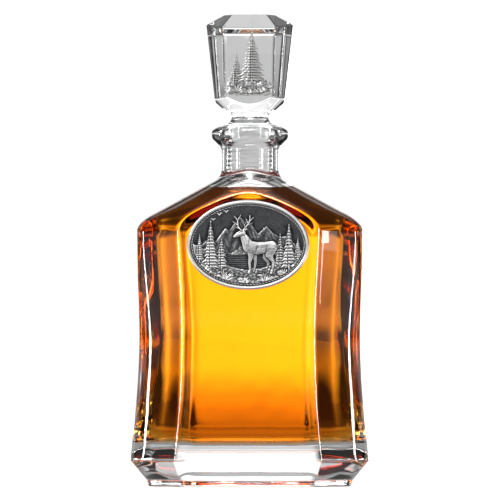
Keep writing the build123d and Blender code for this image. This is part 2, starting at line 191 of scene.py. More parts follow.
def whole_ring(quarter_xy):
    """A closed ring from the quarter's points; the quarter leaves out its last point, on the Y axis."""
    x, y, tip = quarter_xy
    q1 = list(zip(x, y))
    q2 = [(0.0, tip)] + [(-u, v) for u, v in reversed(q1[1:])]
    q3 = [(-u, -v) for u, v in q1]
    q4 = [(0.0, -tip)] + [(u, -v) for u, v in reversed(q1[1:])]
    return np.array(q1 + q2 + q3 + q4)


def ring_at(z, cs, radius, arch):
    """Ring at height z. radius(c, s) gives the distance from the axis, arch the angle of the front edge."""
    a2 = math.atan2(cs[1][1], cs[1][0])
    a3 = math.atan2(cs[2][1], cs[2][0])
    th = np.concatenate([
        clustered(0.0, a3, QUARTER[0]), clustered(a3, a2, QUARTER[1]),
        clustered(a2, arch, QUARTER[2]), clustered(arch, PI / 2, QUARTER[3]), [PI / 2],
    ])
    c, s = np.cos(th), np.sin(th)
    r = radius(c, s)
    return whole_ring(((r * c)[:-1], (r * s)[:-1], r[-1]))


def outer_ring(z, shrink=0.0, edge=2.4):
    cs = wall_corners(max(z, RIDGE_Z))

    def beyond_front(c, s):
        r, f = sides_reach(c, s, cs, edge, shrink)
        if z > 119.0:
            r = soft_min(r, roof_reach(c, s, z, 0.0), EAVE_BLEND)
        return r, f

    th = np.linspace(0.3, PI / 2, 400)
    r, f = beyond_front(np.cos(th), np.sin(th))
    past = np.nonzero(r >= f)[0]
    arch = th[past[0]] if len(past) else 1.2
    if len(past) and past[0] > 0:
        i = past[0]
        d0, d1 = r[i - 1] - f[i - 1], r[i] - f[i]
        arch = th[i - 1] + (th[i] - th[i - 1]) * (-d0 / (d1 - d0))
    arch = min(arch, 1.40)

    def radius(c, s):
        r, f = beyond_front(c, s)
        r = soft_min(r, f, edge)
        if z > 150.0:
            if z > fillet_z:
                rn = NECK_R
            elif z > fillet_z - NECK_FILLET * math.cos(slope):
                rn = NECK_R + NECK_FILLET - math.sqrt(NECK_FILLET**2 - (fillet_z - z) ** 2)
            else:
                rn = NECK_R
            r = soft_max(r, np.full_like(r, rn), 1.2 + 1.2 * ease((z - 158) / 5))
        return r

    return ring_at(z, cs, radius, arch)


def inner_ring(z, shrink=0.0, swell=0.0):
    zc = max(z, CAV_Z[0])
    cs = cavity_corners(zc)
    drop = ROOF_WALL / math.cos(slope)

    def radius(c, s):
        r, f = sides_reach(c, s, cs, CAV_BLEND, shrink - swell)
        r = soft_min(r, f, CAV_BLEND)
        if z > 110.0:
            r = soft_min(r, roof_reach(c, s, z, drop) + swell, INNER_BLEND)
        if z > 148.0:
            r = soft_max(r, np.full_like(r, BORE_R), 3.0)
        return r

    return ring_at(z, cs, radius, math.atan2(cs[0][1], cs[0][0]))


def circle_ring(radius_mm, like):
    """Ring of a circle with the same angles as an existing ring."""
    a = np.arctan2(like[:, 1], like[:, 0])
    return np.stack([radius_mm * np.cos(a), radius_mm * np.sin(a)], 1)


def smooth_profile(points, per=5):
    """Catmull-Rom through (r, z) points."""
    p = np.array([points[0]] + list(points) + [points[-1]], float)
    out = []
    for i in range(1, len(p) - 2):
        for k in range(per):
            t = k / per
            a, b, c, d = p[i - 1], p[i], p[i + 1], p[i + 2]
            out.append(0.5 * ((2 * b) + (c - a) * t + (2 * a - 5 * b + 4 * c - d) * t * t + (3 * b - a - 3 * c + d) * t**3))
    out.append(p[-2])
    return np.array(out)


def loft(name, rings, start=None, end=None, smooth=True):
    """Quad mesh through rings of (n, 3) points in mm, closed by a point at either end."""
    n = len(rings[0])
    verts = np.concatenate(rings) * MM
    faces = []
    for i in range(len(rings) - 1):
        b = i * n
        j = np.arange(n)
        k = (j + 1) % n
        faces.append(np.stack([b + j, b + k, b + n + k, b + n + j], 1))
    faces = np.concatenate(faces).tolist()
    verts = verts.tolist()
    for point, base, flip in ((start, 0, True), (end, (len(rings) - 1) * n, False)):
        if point is not None:
            verts.append([q * MM for q in point])
            tip = len(verts) - 1
            for j in range(n):
                k = (j + 1) % n
                faces.append([base + k, base + j, tip] if flip else [base + j, base + k, tip])
    me = bpy.data.meshes.new(name)
    me.from_pydata(verts, [], faces)
    me.validate()
    if smooth:
        me.shade_smooth()
    me.update()
    ob = bpy.data.objects.new(name, me)
    bpy.context.scene.collection.objects.link(ob)
    return ob


def at_height(ring, z):
    return np.concatenate([ring, np.full((len(ring), 1), z)], 1)


# ---------------------------------------------------------------- node helpers
def material(name):
    m = bpy.data.materials.new(name)
    m.use_nodes = True
    nt = m.node_tree
    nt.nodes.clear()
    out = nt.nodes.new("ShaderNodeOutputMaterial")
    return m, nt, out


def node(nt, kind, **inputs):
    n = nt.nodes.new(kind)
    for k, v in inputs.items():
        n.inputs[k.replace("_", " ")].default_value = v
    return n


def object_coords(nt, scale):
    tc = nt.nodes.new("ShaderNodeTexCoord")
    mp = nt.nodes.new("ShaderNodeMapping")
    mp.inputs["Scale"].default_value = (scale, scale, scale)
    nt.links.new(tc.outputs["Object"], mp.inputs["Vector"])
    return mp.outputs["Vector"]


def ramp(nt, fac, stops):
    r = nt.nodes.new("ShaderNodeValToRGB")
    r.color_ramp.elements[0].position, r.color_ramp.elements[0].color = stops[0]
    r.color_ramp.elements[1].position, r.color_ramp.elements[1].color = stops[-1]
    for pos, col in stops[1:-1]:
        e = r.color_ramp.elements.new(pos)
        e.color = col
    nt.links.new(fac, r.inputs["Fac"])
    return r


def M(nt, op, a, b=None, c=None):
    """A Math node; its inputs are sockets or numbers."""
    n = nt.nodes.new("ShaderNodeMath")
    n.operation = op
    for i, v in enumerate((a, b, c)):
        if v is None:
            continue
        if isinstance(v, (int, float)):
            n.inputs[i].default_value = v
        else:
            nt.links.new(v, n.inputs[i])
    return n.outputs[0]


def step_up(nt, x, lo, hi):
    n = nt.nodes.new("ShaderNodeMapRange")
    n.interpolation_type = "SMOOTHSTEP"
    n.inputs["From Min"].default_value = lo
    n.inputs["From Max"].default_value = hi
    nt.links.new(x, n.inputs["Value"])
    return n.outputs[0]


def bell(nt, x, centre, width):
    """exp(-((x - centre) / width)^2 / 2); width is a number or a socket."""
    q = M(nt, "DIVIDE", M(nt, "SUBTRACT", x, centre), width)
    return M(nt, "EXPONENT", M(nt, "MULTIPLY", M(nt, "MULTIPLY", q, q), -0.5))


def glass_material(name, tint, waviness):
    m, nt, out = material(name)
    b = nt.nodes.new("ShaderNodeBsdfPrincipled")
    b.inputs["Base Color"].default_value = tint
    b.inputs["Roughness"].default_value = 0.0
    b.inputs["IOR"].default_value = 1.5
    b.inputs["Transmission Weight"].default_value = 1.0
    v = object_coords(nt, 1.0)
    n1 = node(nt, "ShaderNodeTexNoise", Scale=55.0, Detail=1.5)
    nt.links.new(v, n1.inputs["Vector"])
    bump = node(nt, "ShaderNodeBump", Strength=waviness, Distance=0.0006)
    nt.links.new(n1.outputs["Fac"], bump.inputs["Height"])
    nt.links.new(bump.outputs["Normal"], b.inputs["Normal"])
    nt.links.new(b.outputs["BSDF"], out.inputs["Surface"])
    return m


glass = glass_material("clear_glass", (0.985, 0.992, 0.99, 1), 0.12)
head_glass = glass_material("stopper_clear_glass", (0.985, 0.992, 0.99, 1), 0.09)

through, nt, out = material("wetted_glass_face")
t = nt.nodes.new("ShaderNodeBsdfTransparent")
nt.links.new(t.outputs[0], out.inputs["Surface"])

liquor, nt, out = material("amber_liquor")
g = nt.nodes.new("ShaderNodeBsdfGlass")
g.inputs["Color"].default_value = (1, 1, 1, 1)
g.inputs["Roughness"].default_value = 0.0
g.inputs["IOR"].default_value = 0.907
nt.links.new(g.outputs[0], out.inputs["Surface"])
va = nt.nodes.new("ShaderNodeVolumeAbsorption")
va.inputs["Color"].default_value = (0.978, 0.72, 0.0, 1)
va.inputs["Density"].default_value = 100.0
nt.links.new(va.outputs[0], out.inputs["Volume"])

surface_mat, nt, out = material("amber_liquor_top")
g = nt.nodes.new("ShaderNodeBsdfGlass")
g.inputs["Color"].default_value = (1, 1, 1, 1)
g.inputs["Roughness"].default_value = 0.0
g.inputs["IOR"].default_value = 1.36
nt.links.new(g.outputs[0], out.inputs["Surface"])

# ---------------------------------------------------------------- glass body
rings = []


def bevel_shrink(z):
    """Inset of the plan below the ridge. A fine fire-polished bead runs along the ridge, a fine groove above the foot band."""
    run = BEVEL_IN * (RIDGE_Z - z) / (RIDGE_Z - FOOT_TOP_Z)
    s = soft_max(np.array(run), np.array(0.0), 0.9)
    low = BEVEL_IN + 0.5 * (FOOT_TOP_Z - z) / (FOOT_TOP_Z - FOOT_CHAMFER)
    line = 0.22 * math.exp(-((z - 3.35) / 0.30) ** 2) - 0.42 * math.exp(-((z - 13.25) / 0.28) ** 2)
    return float(soft_min(s, np.array(low), 0.6)) + line


foot = bevel_shrink(FOOT_CHAMFER)
for k, (z, extra) in enumerate(((0.0, 14.0), (0.0, 6.0), (0.0, 2.2), (0.0, 1.3), (0.04, 1.0), (0.16, 0.66), (0.4, 0.32), (0.7, 0.1))):
    rings.append(at_height(outer_ring(z, foot + extra), z))
levels = [0.9, 1.4, 2.0, 2.5, 2.75, 2.95, 3.1, 3.25, 3.4, 3.55, 3.7, 3.9, 4.2, 5.0, 7.0, 9.0, 10.6, 11.4, 12.0, 12.3, 12.55, 12.75]
levels += [12.9, 13.05, 13.2, 13.35, 13.5, 13.65, 13.8, 14.0, 14.3, 14.8, 15.6, 16.8]
levels += list(np.arange(18.5, 120.0, 2.5)) + list(np.arange(120.5, 130.0, 1.1))
levels += list(np.arange(130.2, 140.0, 0.38)) + list(np.arange(140.2, 156.0, 0.44)) + list(np.arange(156.2, 164.5, 0.5))
for z in levels:
    rings.append(at_height(outer_ring(z, bevel_shrink(z) if z < 18 else 0.0), z))
like = rings[-1][:, :2]
lip = smooth_profile([
    (14.65, 165.6), (14.65, 168.5), (14.65, 172.2), (14.85, 173.8), (15.9, 175.3), (17.6, 176.8), (18.95, 178.2),
    (19.65, 179.6), (19.85, 181.0), (19.7, 182.3), (19.0, 183.5), (17.6, 184.4), (15.6, 185.1), (14.2, 185.4), (13.2, 185.3),
    (12.5, 184.9), (11.7, 184.1), (11.0, 183.2), (10.65, 182.2), (10.6, 181.8),
], 3)
# the sleeve's ribs seat in shallow grooves in the bore
pitch = (180.6 - 161.9) / 8
lip = list(lip) + [(10.6 + 0.11 * (0.5 + 0.5 * math.cos(2 * PI * (z - 161.9) / pitch)) ** 1.5, z) for z in np.arange(181.6, 161.6, -pitch / 5)]
for r, z in lip:
    rings.append(at_height(circle_ring(r, like), z))
n_lip_end = len(rings)
inner_levels = list(np.arange(160.5, 150.6, -0.4)) + [LIQUID_Z]
for z in inner_levels:
    rings.append(at_height(inner_ring(z), z))
wet_from = len(rings) - 1
lower = list(np.arange(150.0, 140.0, -0.5)) + list(np.arange(139.8, 124.0, -0.7)) + list(np.arange(123.5, 30.0, -2.6))
floor_cut = [(FLOOR_Z + FLOOR_ROUND * (1 - math.cos(a)), 0.85 * FLOOR_ROUND * (1 - math.sin(a)))
             for a in np.linspace(PI / 2, 0, 15)]
wet = [(z, 0.0) for z in lower] + floor_cut
wet += [(FLOOR_Z, 0.85 * FLOOR_ROUND + e) for e in (2.0, 5.0, 9.0, 14.0, 19.0, 23.0)]
dry_rings = rings[:wet_from + 1]


def settled(ring3, amount=0.22):
    """The hollow's wall is never quite true: a slight repeatable waviness across the wall."""
    out = ring3.copy()
    w = wave3(out, 5, 46.0)
    rad = np.hypot(out[:, 0], out[:, 1])
    keep = np.clip((rad - 12.0) / 12.0, 0, 1)
    out[:, 0] += amount * w * keep * out[:, 0] / np.maximum(rad, 1e-6)
    out[:, 1] += amount * w * keep * out[:, 1] / np.maximum(rad, 1e-6)
    return out


for i in range(n_lip_end, len(rings)):
    rings[i] = settled(rings[i])
wet_rings = [settled(at_height(inner_ring(max(z, FLOOR_Z), d), z)) for z, d in wet]
body_rings = rings + wet_rings
glass_body = loft("glass_body_blown", body_rings, start=(0, 0, 0), end=(0, 0, FLOOR_Z))
glass_body.data.materials.append(glass)
glass_body.data.materials.append(through)
wet_face = wet_from * N_AROUND
flags = np.zeros(len(glass_body.data.polygons), dtype=np.int32)
n_side = (len(body_rings) - 1) * N_AROUND
flags[wet_face:n_side] = 1
flags[n_side + N_AROUND:] = 1
glass_body.data.polygons.foreach_set("material_index", flags)
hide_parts("glass_body")
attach(glass_body, "decanter")

# ---------------------------------------------------------------- liquor
top = rings[wet_from]
inward = []
for k in (0.0, 0.985, 0.9, 0.7, 0.4):
    if k == 0.0:
        continue
    r3 = top.copy()
    r3[:, :2] *= k
    inward.append(r3)


def seated(ring):
    """The liquor's wall lies 0.02 mm in the glass, so that no ray meets the two faces at one point."""
    s = ring.copy()
    s[:, :2] *= 1.0006
    s[:, 2] -= 0.02 * np.clip((40.0 - s[:, 2]) / 20.0, 0.0, 1.0)
    return s


liquid_rings = [seated(r) for r in reversed(wet_rings)] + [seated(top)] + inward
liquid = loft("liquor_fill", liquid_rings, start=(0, 0, FLOOR_Z - 0.02), end=(0, 0, LIQUID_Z))
liquid.data.materials.append(liquor)
liquid.data.materials.append(surface_mat)
n_wall = len(wet_rings) * N_AROUND
flags = np.zeros(len(liquid.data.polygons), dtype=np.int32)
n_side = (len(liquid_rings) - 1) * N_AROUND
flags[n_wall:n_side] = 1
flags[n_side + N_AROUND:] = 1
liquid.data.polygons.foreach_set("material_index", flags)
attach(liquid, "decanter")

# ---------------------------------------------------------------- stopper glass
planes = []


def through_points(p1, p2, p3):
    a, b, c = Vector(p1), Vector(p2), Vector(p3)
    n = (b - a).cross(c - a).normalized()
    if n.x * p1[0] + n.y * p1[1] < 0:
        n = -n
    planes.append((tuple(n), n.dot(a)))


def by_normal(p, n):
    n = Vector(n).normalized()
    planes.append((tuple(n), n.dot(Vector(p))))


fs = (HEAD_FRONT[0][1] - HEAD_FRONT[1][1]) / (HEAD_HIGH_Z - HEAD_LOW_Z)
ss = (HEAD_SIDE[0][0] - HEAD_SIDE[1][0]) / (HEAD_HIGH_Z - HEAD_LOW_Z)
by_normal((0, HEAD_FRONT[0][1], HEAD_HIGH_Z), (0, 1, -fs))
by_normal((HEAD_SIDE[0][0], 0, HEAD_HIGH_Z), (1, 0, -ss))
through_points(HEAD_FRONT[0], HEAD_FRONT[1], HEAD_SECOND[0])
through_points(HEAD_SECOND[0], HEAD_SECOND[1], HEAD_SIDE[0])
by_normal((0, HEAD_FRONT[0][1] - 0.2, CROWN_FRONT_Z), (0, 0.643, 0.766))
by_normal((HEAD_SIDE[0][0], 0, HEAD_HIGH_Z), (0.477, 0, 0.879))
by_normal((16.0, 16.9, 235.3), (0.36, 0.46, 0.81))


def cone_r(z):
    return float(pchip((188.0, 190.9, 191.6, 193.0, 196.1, 207.6, 300.0), (9.5, 9.6, 10.1, 11.9, 16.2, 30.0, 90.0), z)) if z < 193.0 \
        else 16.2 + (z - 196.1) * (13.8 / 11.5)


def head_corner_angles(z):
    k = (z - HEAD_LOW_Z) / (HEAD_HIGH_Z - HEAD_LOW_Z)
    out = []
    for hi, lo in (HEAD_FRONT, HEAD_SECOND, HEAD_SIDE):
        x, y = lo[0] + k * (hi[0] - lo[0]), lo[1] + k * (hi[1] - lo[1])
        out.append(math.atan2(y, x))
    return out


def head_ring(z, edge=0.8):
    zc = min(max(z, 196.0), 238.0)
    a1, a2, a3 = head_corner_angles(zc)
    th = np.concatenate([
        clustered(0.0, a3, QUARTER[0]), clustered(a3, a2, QUARTER[1]),
        clustered(a2, a1, QUARTER[2]), clustered(a1, PI / 2, QUARTER[3]), [PI / 2],
    ])
    c, s = np.cos(th), np.sin(th)
    r = np.full_like(c, 200.0)
    for (nx, ny, nz), d in planes:
        r = soft_min(r, np.minimum((d - nz * z) / np.maximum(nx * c + ny * s, 1e-3), 190.0), edge)
    r = soft_min(r, np.full_like(r, cone_r(z)), 0.6)
    return whole_ring(((r * c)[:-1], (r * s)[:-1], r[-1]))


stem = smooth_profile([
    (7.4, 160.4), (8.2, 160.45), (8.6, 160.8), (8.72, 161.6), (8.75, 164.0), (8.75, 172.0), (8.75, 182.0), (8.75, 186.0),
], 3)
collar = smooth_profile([
    (8.75, 186.18), (10.9, 186.17), (11.35, 186.25), (11.4, 186.5), (11.1, 186.95), (10.6, 187.4), (10.0, 188.1), (9.65, 188.9),
    (9.5, 189.7),
], 3)
like = head_ring(215.0)
srings = [at_height(circle_ring(r, like), z) for r, z in [(3.0, 160.4), (6.0, 160.4)]]
srings += [at_height(circle_ring(r, like), z) for r, z in list(stem) + list(collar)]
for z in list(np.arange(190.0, 202.0, 0.35)) + list(np.arange(202.5, 233.5, 1.6)) + list(np.arange(233.8, HEAD_TOP_Z - 0.3, 0.22)):
    srings.append(at_height(head_ring(z), z))
last = head_ring(HEAD_TOP_Z - 0.2)
for k, dz in ((1.0, 0.2), (0.985, 0.1), (0.965, 0.03), (0.94, 0.0), (0.8, 0.0), (0.5, 0.0)):
    srings.append(at_height(last * k, HEAD_TOP_Z - dz))
stopper = loft("stopper_glass_cut", srings, start=(0, 0, 160.4), end=(0, 0, HEAD_TOP_Z))
stopper.data.materials.append(head_glass)
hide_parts("stopper_glass")
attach(stopper, "stopper")

# ---------------------------------------------------------------- cast relief
class Sheet:
    """A height map in mm over a rectangle of the relief, u to the right and v upwards."""

    def __init__(self, u0, u1, v0, v1, step):
        self.u = np.arange(u0, u1 + step / 2, step)
        self.v = np.arange(v0, v1 + step / 2, step)
        self.step = step
        self.U, self.V = np.meshgrid(self.u, self.v)
        self.h = np.zeros_like(self.U)
        self.own = np.zeros_like(self.U)          # 1 on the raised shapes

    def noise(self, scale, seed, octaves=3, stretch=(1.0, 1.0)):
        """Value noise between -1 and 1."""
        rng = np.random.default_rng(seed)
        out = np.zeros_like(self.h)
        amp, total = 1.0, 0.0
        for _ in range(octaves):
            su, sv = scale * stretch[0], scale * stretch[1]
            nu = int((self.u[-1] - self.u[0]) / su) + 3
            nv = int((self.v[-1] - self.v[0]) / sv) + 3
            g = rng.uniform(-1, 1, (nv, nu))
            fu, fv = (self.U - self.u[0]) / su, (self.V - self.v[0]) / sv
            iu, iv = fu.astype(int), fv.astype(int)
            tu, tv = ease(fu - iu), ease(fv - iv)
            a = g[iv, iu] * (1 - tu) + g[iv, iu + 1] * tu
            b = g[iv + 1, iu] * (1 - tu) + g[iv + 1, iu + 1] * tu
            out += amp * (a * (1 - tv) + b * tv)
            total += amp
            amp, scale = amp * 0.5, scale * 0.5
        return out / total

    def cells(self, size, seed, stretch=(1.0, 1.0)):
        """Distance to the nearest and second nearest of scattered points, and that point's own value."""
        rng = np.random.default_rng(seed)
        su, sv = size * stretch[0], size * stretch[1]
        nu = int((self.u[-1] - self.u[0]) / su) + 4
        nv = int((self.v[-1] - self.v[0]) / sv) + 4
        pu, pv, val = rng.uniform(0, 1, (nv, nu)), rng.uniform(0, 1, (nv, nu)), rng.uniform(0, 1, (nv, nu))
        fu, fv = (self.U - self.u[0]) / su + 1, (self.V - self.v[0]) / sv + 1
        iu, iv = fu.astype(int), fv.astype(int)
        d1 = np.full_like(fu, 9.0)
        d2 = np.full_like(fu, 9.0)
        who = np.zeros_like(fu)
        for a in (-1, 0, 1):
            for b in (-1, 0, 1):
                ju, jv = iu + a, iv + b
                d = np.hypot(ju + pu[jv, ju] - fu, jv + pv[jv, ju] - fv)
                closer = d < d1
                d2 = np.where(closer, d1, np.minimum(d2, d))
                who = np.where(closer, val[jv, ju], who)
                d1 = np.where(closer, d, d1)
        return d1, d2, who

    def line(self, pts, radii):
        """Signed distance to a limb along the points, with a radius at each, and the share of its depth."""
        best = np.full_like(self.h, 99.0)
        full = np.zeros_like(self.h)
        for (p, q, ra, rb) in zip(pts[:-1], pts[1:], radii[:-1], radii[1:]):
            lo_u, hi_u = min(p[0] - ra, q[0] - rb) - 1.2, max(p[0] + ra, q[0] + rb) + 1.2
            lo_v, hi_v = min(p[1] - ra, q[1] - rb) - 1.2, max(p[1] + ra, q[1] + rb) + 1.2
            i0, i1 = np.searchsorted(self.u, (lo_u, hi_u))
            j0, j1 = np.searchsorted(self.v, (lo_v, hi_v))
            if i1 <= i0 or j1 <= j0:
                continue
            U, V = self.U[j0:j1, i0:i1], self.V[j0:j1, i0:i1]
            du, dv = q[0] - p[0], q[1] - p[1]
            t = np.clip(((U - p[0]) * du + (V - p[1]) * dv) / max(du * du + dv * dv, 1e-9), 0, 1)
            r = ra + (rb - ra) * t
            d = np.hypot(U - p[0] - t * du, V - p[1] - t * dv)
            sd = d - r
            part = best[j0:j1, i0:i1]
            near = sd < part
            full[j0:j1, i0:i1] = np.where(near, np.sqrt(np.clip(1 - (d / np.maximum(r, 1e-6)) ** 2, 0, 1)) * r, full[j0:j1, i0:i1])
            best[j0:j1, i0:i1] = np.minimum(part, sd)
        return best, full

    def limb(self, pts, radii, high, base=0.0, soft=0.25, fur=None, groove=0.0):
        """Raise a rounded limb to high mm above the plate. It rises out of what is under it."""
        sd, full = self.line(pts, radii)
        rmax = max(radii)
        rise = base + (high - base) * np.sqrt(np.clip(full / rmax, 0, 1))
        if fur is not None:
            rise = rise + fur
        inside = np.clip(-sd / 0.10 + 0.5, 0, 1)
        if groove > 0:
            moat = np.exp(-((sd - 0.12) / 0.22) ** 2) * (sd > -0.1)
            self.h = self.h - groove * moat * (self.h > 0.05)
        self.h = np.where(sd < 0.1, soft_max(self.h, np.where(sd < 0.1, rise * inside, -1.0), soft * 0.4), self.h)
        self.own = np.maximum(self.own, inside)

    def mask_polygon(self, poly):
        """Signed distance to a closed polygon, negative inside."""
        P = np.array(poly, float)
        d = np.full(self.h.shape, 99.0)
        inside = np.zeros(self.h.shape, bool)
        n = len(P)
        for i in range(n):
            a, b = P[i], P[(i + 1) % n]
            e = b - a
            t = np.clip(((self.U - a[0]) * e[0] + (self.V - a[1]) * e[1]) / max(e @ e, 1e-9), 0, 1)
            d = np.minimum(d, np.hypot(self.U - a[0] - t * e[0], self.V - a[1] - t * e[1]))
            crosses = ((a[1] > self.V) != (b[1] > self.V))
            with np.errstate(divide="ignore", invalid="ignore"):
                x = (b[0] - a[0]) * (self.V - a[1]) / (b[1] - a[1]) + a[0]
            inside ^= crosses & (self.U < x)
        return np.where(inside, -d, d)

    def blurred(self, sigma, field=None):
        f = self.h if field is None else field
        k = int(3 * sigma / self.step) + 1
        x = np.arange(-k, k + 1) * self.step
        w = np.exp(-0.5 * (x / sigma) ** 2)
        w /= w.sum()
        f = np.pad(f, k, mode="edge")
        f = np.apply_along_axis(lambda r: np.convolve(r, w, mode="valid"), 0, f)
        return np.apply_along_axis(lambda r: np.convolve(r, w, mode="valid"), 1, f)

    def at(self, field, u, v):
        fu = np.clip((u - self.u[0]) / self.step, 0, len(self.u) - 1.001)
        fv = np.clip((v - self.v[0]) / self.step, 0, len(self.v) - 1.001)
        iu, iv = fu.astype(int), fv.astype(int)
        tu, tv = fu - iu, fv - iv
        return ((field[iv, iu] * (1 - tu) + field[iv, iu + 1] * tu) * (1 - tv)
                + (field[iv + 1, iu] * (1 - tu) + field[iv + 1, iu + 1] * tu) * tv)

    def conifer(self, x, foot, top, half, tiers, high, seed, base=0.0):
        """A tree of drooping boughs: each bough is a short tapered limb, laid from the top down."""
        rng = np.random.default_rng(seed)
        self.limb([(x, foot), (x, foot + (top - foot) * 0.5), (x, top)], [half * 0.13, half * 0.10, 0.10], high * 0.75, base, groove=0.15)
        rows = tiers * 2 + 1
        for i in reversed(range(rows)):
            k = 1 - (i + 0.2) / rows
            y = foot + (top - foot) * (0.10 + 0.87 * (i + 0.2) / rows)
            reach = half * (k ** 0.9) * (1.0 if i % 2 == 0 else 0.82)
            drop = (top - foot) / rows * 0.95
            n = 5 if reach > 2.0 else 3
            for j in range(n):
                w = (j / (n - 1)) * 2 - 1
                w = w * (0.92 + 0.16 * rng.uniform())
                tip = (x + reach * w, y - drop * (0.55 + 0.55 * (1 - abs(w))) * rng.uniform(0.85, 1.15))
                mid = (x + reach * w * 0.55, y + drop * 0.12 - drop * 0.25 * (1 - abs(w)))
                r0 = max(0.16, min(0.15 * reach + 0.14, 0.62))
                self.limb([(x, y + drop * 0.25), mid, tip], [r0 * 0.8, r0, 0.07], high * (0.80 + 0.2 * (1 - abs(w))), base, 0.2, groove=0.10)

    def blade(self, x, y, angle, length, width, bend, high, base=0.0):
        """One leaf of grass: it tapers and bends to one side."""
        a = angle
        pts, radii = [(x, y)], [width * 0.6]
        n = 7
        for i in range(n):
            pts.append((pts[-1][0] + math.cos(a) * length / n, pts[-1][1] + math.sin(a) * length / n))
            radii.append(width * (1 - ((i + 1) / n) ** 1.6) * 0.9 + 0.04)
            a += bend / n
        self.limb(pts, radii, high, base, 0.15, groove=0.12)

    def tuft(self, x, y, size, count, seed, high, base=0.0):
        rng = np.random.default_rng(seed)
        order = rng.permutation(count)
        for i in order:
            w = (i + 0.5) / count * 2 - 1
            ang = PI / 2 - w * 1.15 + rng.uniform(-0.1, 0.1)
            self.blade(x + w * size * 0.12, y, ang, size * rng.uniform(0.75, 1.05), size * 0.075, -w * 0.9, high * rng.uniform(0.85, 1.05), base)

    def boulder(self, x, y, rx, ry, seed, high, base=0.0):
        """A faceted stone."""
        rng = np.random.default_rng(seed)
        top = np.full_like(self.h, high)
        r = np.hypot((self.U - x) / rx, (self.V - y) / ry)
        for k in range(9):
            a = 2 * PI * k / 9 + rng.uniform(-0.25, 0.25)
            off = rng.uniform(0.62, 0.92)
            d = ((self.U - x) / rx * math.cos(a) + (self.V - y) / ry * math.sin(a))
            top = np.minimum(top, high - np.maximum(0, d - off * 0.45) * (high - base) * rng.uniform(1.1, 2.2))
        top = top + 0.04 * self.noise(0.9, seed + 7, 2)
        on = (top > base) & (r < 1.25)
        moat = np.exp(-((r - 1.02) / 0.10) ** 2) * 0.12
        self.h = np.where(on & (top > self.h - 0.4), np.maximum(self.h * 0 + top, base), self.h - moat * (self.h > 0.05))
        self.own = np.maximum(self.own, on * 1.0)


def stand_out(sheet, fine=0.25, wide=1.1):
    """How far each point stands above its near and its wider surroundings."""
    h = sheet.h
    c1 = h - sheet.blurred(fine)
    c2 = h - sheet.blurred(wide)
    return c1, c2


# ---------------------------------------------------------------- medallion
MED_Z, MED_A, MED_B = 123.0, 31.2, 22.8
PLATE_Y, PAD_Y, RIM_TOP = 37.6, 36.0, 1.3      # distances of plate front and pad face from the axis plane


